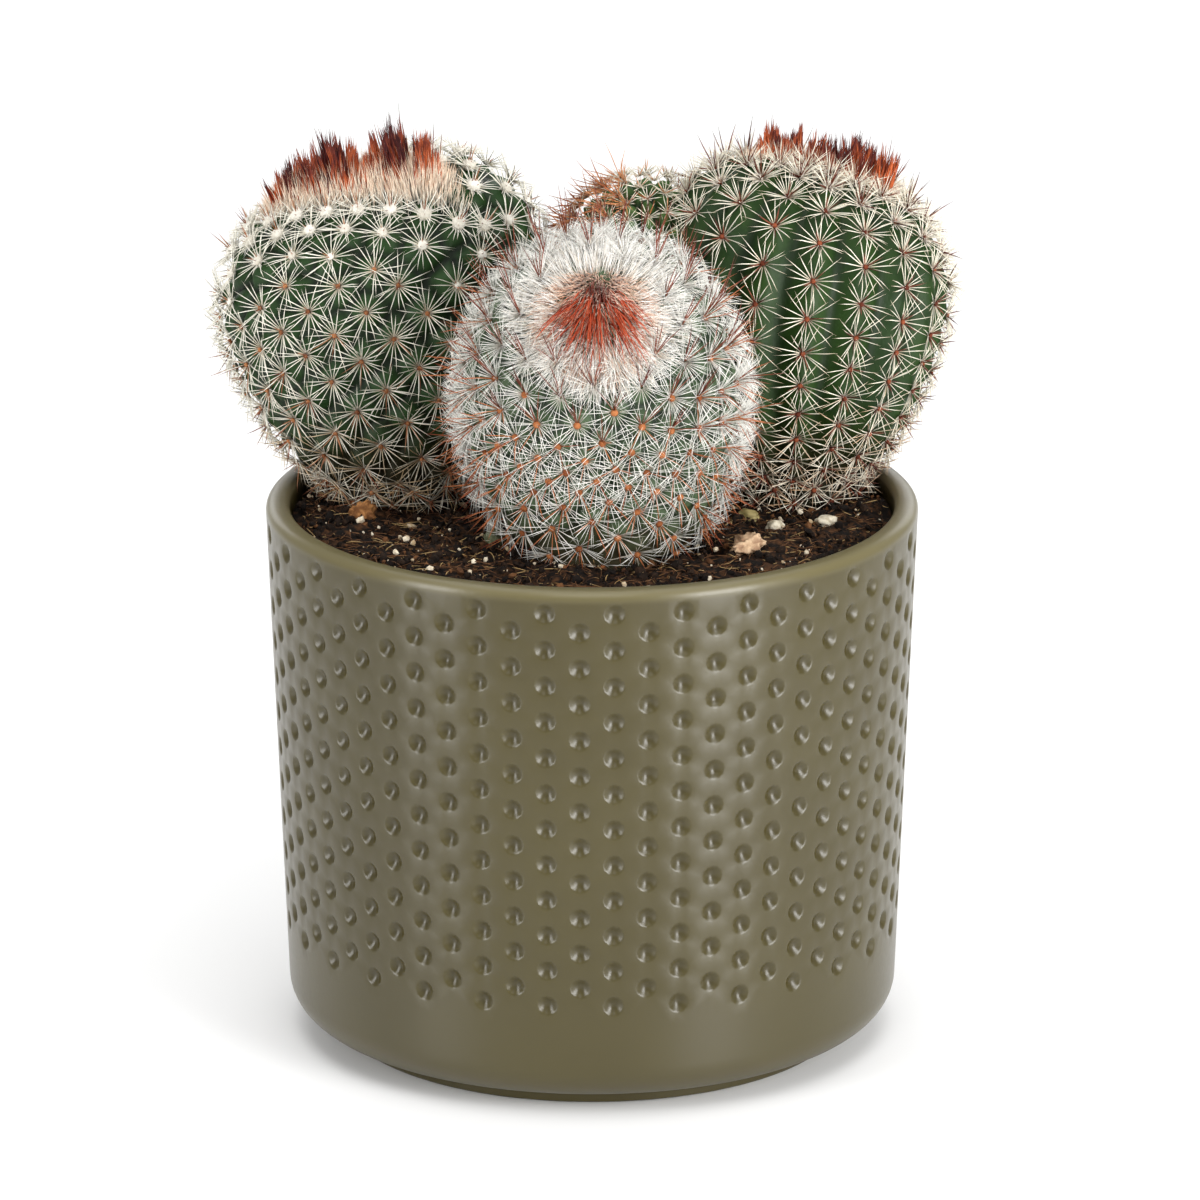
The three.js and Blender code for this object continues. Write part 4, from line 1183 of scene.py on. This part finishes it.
def make_front(settings):
    """The pale head, thick with fine white spines and long red-brown ones."""
    random = np.random.default_rng(SEED + 12)
    shape = HEADS["head_front"]
    slot = "flesh_fuzzy"
    areoles = spiral_areoles(shape, cell=57, crowding=0.5, hand=1, lift=1.1)
    body = flesh_mesh("head_front_flesh", shape, areoles, relief=1.0, columns=160, rows=94)
    dress(body, flesh_material("flesh_pale_green", settings.front_skin), slot, "head_front")
    areoles = areoles.pick(areoles.down > 6)
    long = settings.spine_length
    aside = np.abs(areoles.place[:, 0] - shape.middle[0])
    rays = Strands()
    old = 0.6 * smoothstep(0.5, 1.0, areoles.age)
    upper = areoles.pick(areoles.place[:, 2] > 166 - 1.1 * aside)
    add_radials(rays, areoles, random, number=22, length=7.3, lift=28, width=0.085, grow=long, tan=old)
    add_radials(rays, upper, random, number=30, length=6.6, lift=50, width=0.08, grow=long, droop=0.2)
    dress(rays.build("head_front_rays"), bristle_material("spine_glassy"), slot)
    awls = Strands(AWL_STOPS)
    grown = areoles.pick(areoles.down > 22)
    fall = np.outer(grown.age, [0, 0, -0.75])
    sides = areoles.pick((aside > 17) & (areoles.down > 16))
    add_centrals(awls, grown, random, number=3, length=7.6, lift=48, width=0.125, grow=long, pull=fall)
    fall, rise = (0, 0, -0.15), (0, 0, 0.9)
    add_centrals(awls, sides, random, 2, length=8.6, lift=66, width=0.14, grow=long, pull=fall, bow=0.12)
    dress(awls.build("head_front_awls"), bristle_material("spine_orange"), slot)
    tall = Strands(AWL_STOPS)
    ring = areoles.pick((areoles.down > 7) & (areoles.down < 27))
    add_centrals(tall, ring, random, 5, length=10.5, lift=74, width=0.13, grow=long, pull=rise, bow=0.16)
    dress(tall.build("head_front_tall_spines"), bristle_material("spine_mahogany"), slot)
    cored = areoles.pick(areoles.down > 16)
    make_cushions("head_front_cushions", earth_material("felt_orange"), slot, cored, 0.8, 0.6, random)


# Growing points


# Each crest: its line on the head, its tufts' profile as (place, height, darkness, tilt), and its single
# spikes as (place, length, tilt). The left one has rings of cushions round it, as (distance from its edge,
# spacing), and room is how far the head's other cushions stay from these
CREST_LEFT = {
    "node": "crown_left", "head": "head_left", "tufts": 150, "hairs": 3400, "wool": 8.5,
    "middle": 0.0, "half": 17.5, "forward": 9.0, "slope": 6.0, "depth": 4.2,
    "rings": ((7.0, 6.2), (11.5, 6.9), (16.5, 7.7)), "room": 6.0,
    "spikes": ((0.62, 18.5, -4), (0.92, 15, 3)),
    "profile": (
        (-1.0, 8.5, 0.1, -14), (-0.93, 9.5, 0.4, -10), (-0.8, 10.0, 1.0, -8), (-0.62, 10.8, 0.4, -8),
        (-0.45, 11.6, 0.5, -8), (-0.26, 14.2, 1.0, -9), (-0.14, 12.8, 0.6, -6), (-0.02, 9.4, 0.0, -4),
        (0.1, 7.6, -0.3, 2), (0.2, 8.0, 0.1, -4), (0.34, 10.8, 0.5, -10), (0.5, 13.6, 1.0, -14),
        (0.6, 14.0, 0.9, -12), (0.72, 11.8, 0.6, -8), (0.84, 11.6, 0.1, -2), (0.92, 11.8, 0.0, 2),
        (1.0, 9.0, 0.1, 6)),
}
CREST_RIGHT = {
    "node": "crown_right", "head": "head_right", "tufts": 110, "hairs": 3000, "wool": 6.4,
    "middle": 0.5, "half": 14.0, "forward": 2.0, "slope": 1.5, "depth": 3.6,
    "spikes": ((-0.9, 11.5, 4), (0.9, 14, 10)),
    "profile": (
        (-1.0, 6.0, 0.0, -6), (-0.86, 9.4, 0.3, 0), (-0.7, 8.2, 0.4, 4), (-0.52, 9.8, 0.5, 6),
        (-0.34, 7.8, 0.4, 4), (-0.16, 9.6, 0.5, 8), (0.04, 8.8, 0.7, 6), (0.26, 11.0, 0.8, 8),
        (0.48, 10.2, 0.7, 8), (0.7, 10.4, 0.7, 8), (0.88, 11.8, 0.3, 10), (1.0, 9.0, 0.0, 12)),
}


def crest_ground(shape, crest, along, across):
    """Places and outward ways by a crest: along it from -1 to 1, and across it, 1 at its front edge."""
    sideways = crest["middle"] + crest["half"] * along
    forwards = crest["forward"] + crest["slope"] * along + crest["depth"] * across
    turn, alpha = shape.locate(sideways, forwards)
    return shape.point(turn, alpha), shape.axes(turn, alpha)[2]


def crest_rows(shape, crest, lift):
    """Rings of cushions round a crest, evenly spaced along each ring."""
    turns = []
    alphas = []
    for number, (gap, spacing) in enumerate(crest["rings"]):
        wide = crest["half"] + gap
        deep = crest["depth"] + gap
        fine = np.linspace(0, FULL_TURN, 721)
        step = np.hypot(wide * np.diff(np.sin(fine)), deep * np.diff(np.cos(fine)))
        gone = np.append(0, np.cumsum(step))
        count = int(gone[-1] / spacing)
        ring = np.interp((np.arange(count) + 0.5 * (number % 2)) * gone[-1] / count, gone, fine)
        along = np.sin(ring) * wide / crest["half"]
        sideways = crest["middle"] + crest["half"] * along
        forwards = crest["forward"] + crest["slope"] * along + deep * np.cos(ring)
        turn, alpha = shape.locate(sideways, forwards)
        turns.append(turn[alpha < CREST_LIMIT])
        alphas.append(alpha[alpha < CREST_LIMIT])
    flank, length, _ = shape.flank()
    alpha = np.concatenate(alphas)
    down = np.interp(alpha, flank[::-1], (length[-1] - length)[::-1])
    return areoles_on(shape, np.concatenate(turns), alpha, down, length[-1], lift)


def crest_distance(shape, crest, areoles):
    """How far each cushion is from the middle line of a crest."""
    along = np.linspace(-1, 1, 40)
    line, _ = crest_ground(shape, crest, along, np.zeros(40))
    return nearest_two(areoles.base, line)[0]


def add_crest_bristles(strands, shape, crest, random):
    """Bristles that lean together into pointed tufts of uneven height, the front ones shorter."""
    tufts = crest["tufts"]
    along = random.random(tufts) * 2 - 1
    across = (random.random(tufts) * 2 - 1) * np.sqrt(1 - along ** 2)
    where, height, dark, tilt = np.array(crest["profile"]).T
    height = np.interp(along, where, height) * (1 - 0.35 * np.maximum(across, 0))
    height = height * (0.74 + 0.34 * random.random(tufts))
    tilt = np.radians(np.interp(along, where, tilt) + 6 * random.normal(size=tufts))
    back = np.radians(3 + 6 * random.normal(size=tufts) - 6 * across)
    way = unit(np.stack([np.tan(tilt), np.tan(back), np.ones(tufts)], -1))
    ground, out = crest_ground(shape, crest, along, across)
    dark = np.interp(along, where, dark) + 0.3 * random.normal(size=tufts)
    index = np.repeat(np.arange(tufts), CREST_BRISTLES)
    spread = scatter(random, len(index), 1.3)
    root = ground[index] + spread - out[index]
    tip = ground[index] + way[index] * height[index, None] + 0.12 * spread
    tip = root + (tip - root) * (0.66 + 0.38 * random.random((len(index), 1)))
    size = np.linalg.norm(tip - root, axis=1)
    shade = dark[index] + 0.4 * (random.random(len(index)) - 0.5)
    strands.add(root, unit(tip - root), size, 0.19, scatter(random, len(index), 0.05), shade)
    for place, length, slant in crest["spikes"]:
        foot, _ = crest_ground(shape, crest, np.array([place]), np.zeros(1))
        strands.add(foot, lean(slant, 2)[None], length, 0.16, np.zeros((1, 3)), 0.9)


def add_crest_fringe(strands, shape, crest, random, grow):
    """Long pale hairs that rise all round a crest and hide the feet of its bristles."""
    count = crest["hairs"]
    ring = random.random(count) * FULL_TURN
    inside = 0.55 + 0.45 * random.random(count)
    beyond = CREST_REACH * random.random(count) ** 1.4
    along = np.sin(ring) * (inside + beyond / crest["half"])
    across = np.cos(ring) * (inside + beyond / crest["depth"])
    root, out = crest_ground(shape, crest, along, across)
    where, _, _, tilt = np.array(crest["profile"]).T
    tilt = np.radians(np.interp(along, where, tilt) + 7 * random.normal(size=count))
    upright = unit(np.stack([np.tan(tilt), np.full(count, 0.05), np.ones(count)], -1))
    way = unit(upright + out * (0.2 + 0.5 * beyond / CREST_REACH)[:, None] + scatter(random, count, 0.12))
    size = crest["wool"] * grow * (0.5 + 0.6 * random.random(count)) * (1 - 0.5 * beyond / CREST_REACH)
    bend = scatter(random, count, 0.08)
    strands.add(root - out * 0.5, way, size, 0.1, bend, 0.6 * random.random(count))


def make_crest(crest, fire, peach, grow):
    """A crest of red-brown bristles in pale wool, on the head that it belongs to."""
    node = crest["node"]
    random = np.random.default_rng(SEED + 20 + len(crest["head"]))
    shape = HEADS[crest["head"]]
    brush = Strands(AWL_STOPS_FINE)
    add_crest_bristles(brush, shape, crest, random)
    dress(brush.build(f"{node}_bristles"), fire, "crown_wool", node)
    fringe = Strands(WOOL_STOPS)
    add_crest_fringe(fringe, shape, crest, random, grow)
    dress(fringe.build(f"{node}_wool"), peach, "crown_wool")


def pole_ground(shape, random, count, radius):
    """Random places round a growing point: bearing, distance, point, way towards it and way out."""
    ring = random.random(count) * FULL_TURN
    reach = radius * random.random(count) ** 0.5
    turn, alpha = shape.locate(np.sin(ring) * reach, np.cos(ring) * reach)
    _, rise, out = shape.axes(turn, alpha)
    return ring, reach, shape.point(turn, alpha), rise, out


def slope_ways(out):
    """Level ways across a slope, and ways straight down it."""
    side = unit(np.cross([0.0, 0.0, 1.0], out))
    return side, np.cross(side, out)


def make_hairs(name, material, root, way, out, length, droop, random):
    """Fine wool that stands on the front head round its growing point, as one piece."""
    count = len(root)
    strands = Strands(WOOL_STOPS)
    way = unit(way + scatter(random, count, 0.25))
    size = length * (0.6 + 0.6 * random.random(count))
    bend = -droop * out + scatter(random, count, 0.1)
    strands.add(root - out * 0.3, way, size, 0.08, bend, random.random(count))
    dress(strands.build(name), material, "crown_wool")


def make_crown_front(settings):
    """A whorl of orange-red bristles that drape over peach wool, in a ring of white floss."""
    random = np.random.default_rng(SEED + 24)
    shape = HEADS["head_front"]
    long = settings.wool_length
    _, reach, root, rise, out = pole_ground(shape, random, PEACH_HAIRS, 11)
    _, down = slope_ways(out)
    root = root + down * (0.3 * reach)[:, None]
    way = out * 0.6 - rise * 0.3 + down * 0.75
    blush = bristle_material("wool_blush")
    make_hairs("crown_front_wool", blush, root, way, out, 5.6 * long, 0.2, random)
    _, reach, root, rise, out = pole_ground(shape, random, WHITE_HAIRS, 16.5)
    keep = reach > 6.5
    root, rise, out = root[keep], rise[keep], out[keep]
    way = out * 0.75 - rise * 0.6
    snow = bristle_material("floss_white")
    make_hairs("crown_front_floss", snow, root, way, out, 6.6 * long, 0.15, random)
    count = DRAPE_BRISTLES
    drape = Strands((0.0, 0.25, 0.5, 0.75))
    ring, reach, root, _, out = pole_ground(shape, random, count, DRAPE_RADIUS)
    side, down = slope_ways(out)
    aside = (np.sin(ring) * reach / DRAPE_RADIUS)[:, None]
    way = unit(out * 0.75 + down * 0.7 + side * aside * 0.9 + scatter(random, count, 0.2))
    size = (11.5 + 2.5 * np.cos(ring)) * (0.55 + 0.5 * random.random(count))
    bend = down * 0.35 - out * 0.4 + scatter(random, count, 0.1)
    drape.add(root, way, size, 0.14, bend, random.random(count))
    ember = bristle_material("bristle_ember", settings.ember)
    dress(drape.build("crown_front_bristles"), ember, "crown_wool", "crown_front")
    count = HOOD_BRISTLES
    hood = Strands((0.0, 0.3, 0.6))
    _, _, root, _, out = pole_ground(shape, random, count, 2.2)
    _, down = slope_ways(out)
    way = unit(out * 0.8 - 0.6 * down + scatter(random, count, 0.2))
    hood.add(root, way, 5.0 * (0.6 + 0.5 * random.random(count)), 0.15, out * 0.1, random.random(count))
    dress(hood.build("crown_front_hood"), bristle_material("bristle_dusk"), "crown_wool")


# Studio


def make_camera():
    """The camera that sees what the photograph shows."""
    data = bpy.data.cameras.new("photo_camera")
    data.sensor_width = SENSOR
    data.lens = SENSOR * FOCAL_PIXELS / PHOTO_PIXELS
    data.clip_end = 20
    camera = bpy.data.objects.new("photo_camera", data)
    camera.location = CAMERA_PLACE
    look = Vector(CAMERA_AIM) - Vector(CAMERA_PLACE)
    camera.rotation_euler = look.to_track_quat("-Z", "Y").to_euler()
    bpy.context.scene.collection.objects.link(camera)
    bpy.context.scene.camera = camera


# Name, place, size and power of each light: broad ones, and a narrow strip before each side one
LIGHTS = (
    ("soft_top", (0, 0.3, 1.6), (1.6, 1.6), 13.5),
    ("soft_left", (-0.83, -0.56, 0.4), (0.5, 0.8), 2.2),
    ("soft_front", (0, -0.8, 1.3), (0.6, 0.5), 3.6),
    ("soft_back", (0, 1.25, 0.55), (1.8, 0.6), 5.0),
    ("soft_right", (0.76, -0.66, 0.4), (0.9, 0.8), 4.6),
    ("strip_left", (-0.79, -0.55, 0.3), (0.3, 0.55), 3.8),
    ("strip_right", (0.66, -0.68, 0.3), (0.38, 0.55), 8.0),
)


def make_light(name, place, size, watts):
    """A soft rectangular light that looks at the plant."""
    data = bpy.data.lights.new(name, "AREA")
    data.shape = "RECTANGLE"
    data.size, data.size_y = size
    data.energy = watts
    light = bpy.data.objects.new(name, data)
    light.location = place
    look = Vector((0, 0, 0.1)) - Vector(place)
    light.rotation_euler = look.to_track_quat("-Z", "Y").to_euler()
    bpy.context.scene.collection.objects.link(light)


def make_stage(settings):
    """The floor, the lights, the air and the camera."""
    half = settings.floor_size / 2 / MM
    corners = [(-half, -half, 0), (half, -half, 0), (half, half, 0), (-half, half, 0)]
    floor = make_object("studio_floor", corners, [(0, 1, 2, 3)], smooth=False)
    floor.location.z = -0.0002
    floor.data.materials.append(studio_material(settings.floor_colour))
    for name, place, size, watts in LIGHTS:
        make_light(name, place, size, watts * settings.brightness)
    world = bpy.data.worlds.new("studio_air")
    world.use_nodes = True
    world.node_tree.nodes["Background"].inputs["Color"].default_value = (1, 1, 1, 1)
    world.node_tree.nodes["Background"].inputs["Strength"].default_value = settings.air
    bpy.context.scene.world = world
    bpy.context.scene.view_settings.view_transform = "Standard"
    make_camera()


# Settings, operators and panel


def colour_setting(name, description, default):
    return bpy.props.FloatVectorProperty(
        name=name, description=description, subtype="COLOR", min=0, max=1, default=default)


def factor_setting(name, description):
    return bpy.props.FloatProperty(
        name=name, description=description, subtype="FACTOR", min=0, max=2, default=1.0)


class PotSettings(bpy.types.PropertyGroup):
    glaze: colour_setting("Glaze", "Main colour of the glaze", srgb(65, 58, 28))
    pooled_glaze: colour_setting("Pooled glaze", "Colour where the glaze lies thicker", srgb(57, 50, 21))
    # The pale lip colour is a painted highlight on the rim's top
    lip_highlight_glaze: colour_setting("Worn glaze", "Colour of the thin glaze on the lip", srgb(118, 110, 78))
    dimple_depth: factor_setting("Dimple depth", "Factor on the depth of the dimples")


class SoilSettings(bpy.types.PropertyGroup):
    peat: colour_setting("Peat", "Dark colour of the potting mix", srgb(16, 10, 7))
    bark: colour_setting("Bark", "Light colour of the bark in the mix", srgb(112, 74, 44))


class HeadSettings(bpy.types.PropertyGroup):
    left_skin: colour_setting("Left head", "Skin of the left head", srgb(26, 54, 18))
    right_skin: colour_setting("Right head", "Skin of the right head", srgb(22, 46, 9))
    offset_skin: colour_setting("Offset", "Skin of the small shoot between the heads", srgb(58, 90, 38))
    front_skin: colour_setting("Front head", "Skin of the front head", srgb(58, 78, 50))
    spine_length: factor_setting("Spine length", "Factor on the length of all spines on the heads")


class CrownSettings(bpy.types.PropertyGroup):
    fire: colour_setting("Crests", "Colour of the young bristles on the rear heads", srgb(200, 98, 48))
    ember: colour_setting("Whorl", "Colour of the young bristles on the front head", srgb(184, 72, 36))
    wool_length: factor_setting("Wool length", "Factor on the length of the wool round the growing points")


class StageSettings(bpy.types.PropertyGroup):
    floor_size: bpy.props.FloatProperty(
        name="Floor size", description="Side of the square floor", unit="LENGTH", default=8.0)
    floor_colour: colour_setting("Floor", "Colour of the floor", (0.93, 0.93, 0.93))
    brightness: factor_setting("Brightness", "Factor on the power of all the lights")
    air: bpy.props.FloatProperty(
        name="Air", description="Strength of the even light from all round", default=0.42)


class CACTUS_OT_pot(bpy.types.Operator):
    """Add the dimpled, glazed cover pot"""
    bl_idname = "cactus.pot"
    bl_label = "Pot"

    def execute(self, context):
        make_pot(context.scene.cactus_pot)
        return {"FINISHED"}


class CACTUS_OT_soil(bpy.types.Operator):
    """Add the bed of potting mix"""
    bl_idname = "cactus.soil"
    bl_label = "Soil"

    def execute(self, context):
        make_soil(context.scene.cactus_soil)
        return {"FINISHED"}


class CACTUS_OT_litter(bpy.types.Operator):
    """Add the stones, chips, crumbs and fibres that lie on the soil"""
    bl_idname = "cactus.litter"
    bl_label = "Litter"

    def execute(self, context):
        make_pebbles()
        make_litter(context.scene.cactus_soil)
        return {"FINISHED"}


class CACTUS_OT_heads(bpy.types.Operator):
    """Add the heads with their spines, wool and cushions"""
    bl_idname = "cactus.heads"
    bl_label = "Heads"

    def execute(self, context):
        settings = context.scene.cactus_heads
        make_left(settings)
        make_right(settings)
        make_front(settings)
        return {"FINISHED"}


class CACTUS_OT_crowns(bpy.types.Operator):
    """Add the woolly growing points with their young bristles"""
    bl_idname = "cactus.crowns"
    bl_label = "Growing points"

    def execute(self, context):
        settings = context.scene.cactus_crowns
        fire = bristle_material("crest_fire", settings.fire)
        peach = bristle_material("crest_peach")
        for crest in (CREST_LEFT, CREST_RIGHT):
            make_crest(crest, fire, peach, settings.wool_length)
        make_crown_front(settings)
        return {"FINISHED"}


class CACTUS_OT_stage(bpy.types.Operator):
    """Add the floor, the soft lights and the camera"""
    bl_idname = "cactus.stage"
    bl_label = "Studio"

    def execute(self, context):
        make_stage(context.scene.cactus_stage)
        return {"FINISHED"}


STEPS = (
    CACTUS_OT_pot, CACTUS_OT_soil, CACTUS_OT_litter, CACTUS_OT_heads, CACTUS_OT_crowns, CACTUS_OT_stage)
SETTINGS = {
    "cactus_pot": PotSettings, "cactus_soil": SoilSettings, "cactus_heads": HeadSettings,
    "cactus_crowns": CrownSettings, "cactus_stage": StageSettings,
}


class CACTUS_PT_pieces(bpy.types.Panel):
    """Lists the pieces of the potted cactus"""
    bl_idname = "CACTUS_PT_pieces"
    bl_label = "Potted cactus"
    bl_space_type = "VIEW_3D"
    bl_region_type = "UI"
    bl_category = "Cactus"

    def draw(self, context):
        for step in STEPS:
            self.layout.operator(step.bl_idname)


CLASSES = (*SETTINGS.values(), *STEPS, CACTUS_PT_pieces)


def register():
    for item in CLASSES:
        bpy.utils.register_class(item)
    for key, group in SETTINGS.items():
        setattr(bpy.types.Scene, key, bpy.props.PointerProperty(type=group))


def unregister():
    for key in SETTINGS:
        delattr(bpy.types.Scene, key)
    for item in reversed(CLASSES):
        bpy.utils.unregister_class(item)


def main():
    register()
    bpy.ops.cactus.pot()
    bpy.ops.cactus.soil()
    bpy.ops.cactus.litter()
    bpy.ops.cactus.heads()
    bpy.ops.cactus.crowns()
    bpy.ops.cactus.stage()


if __name__ == "__main__":
    main()
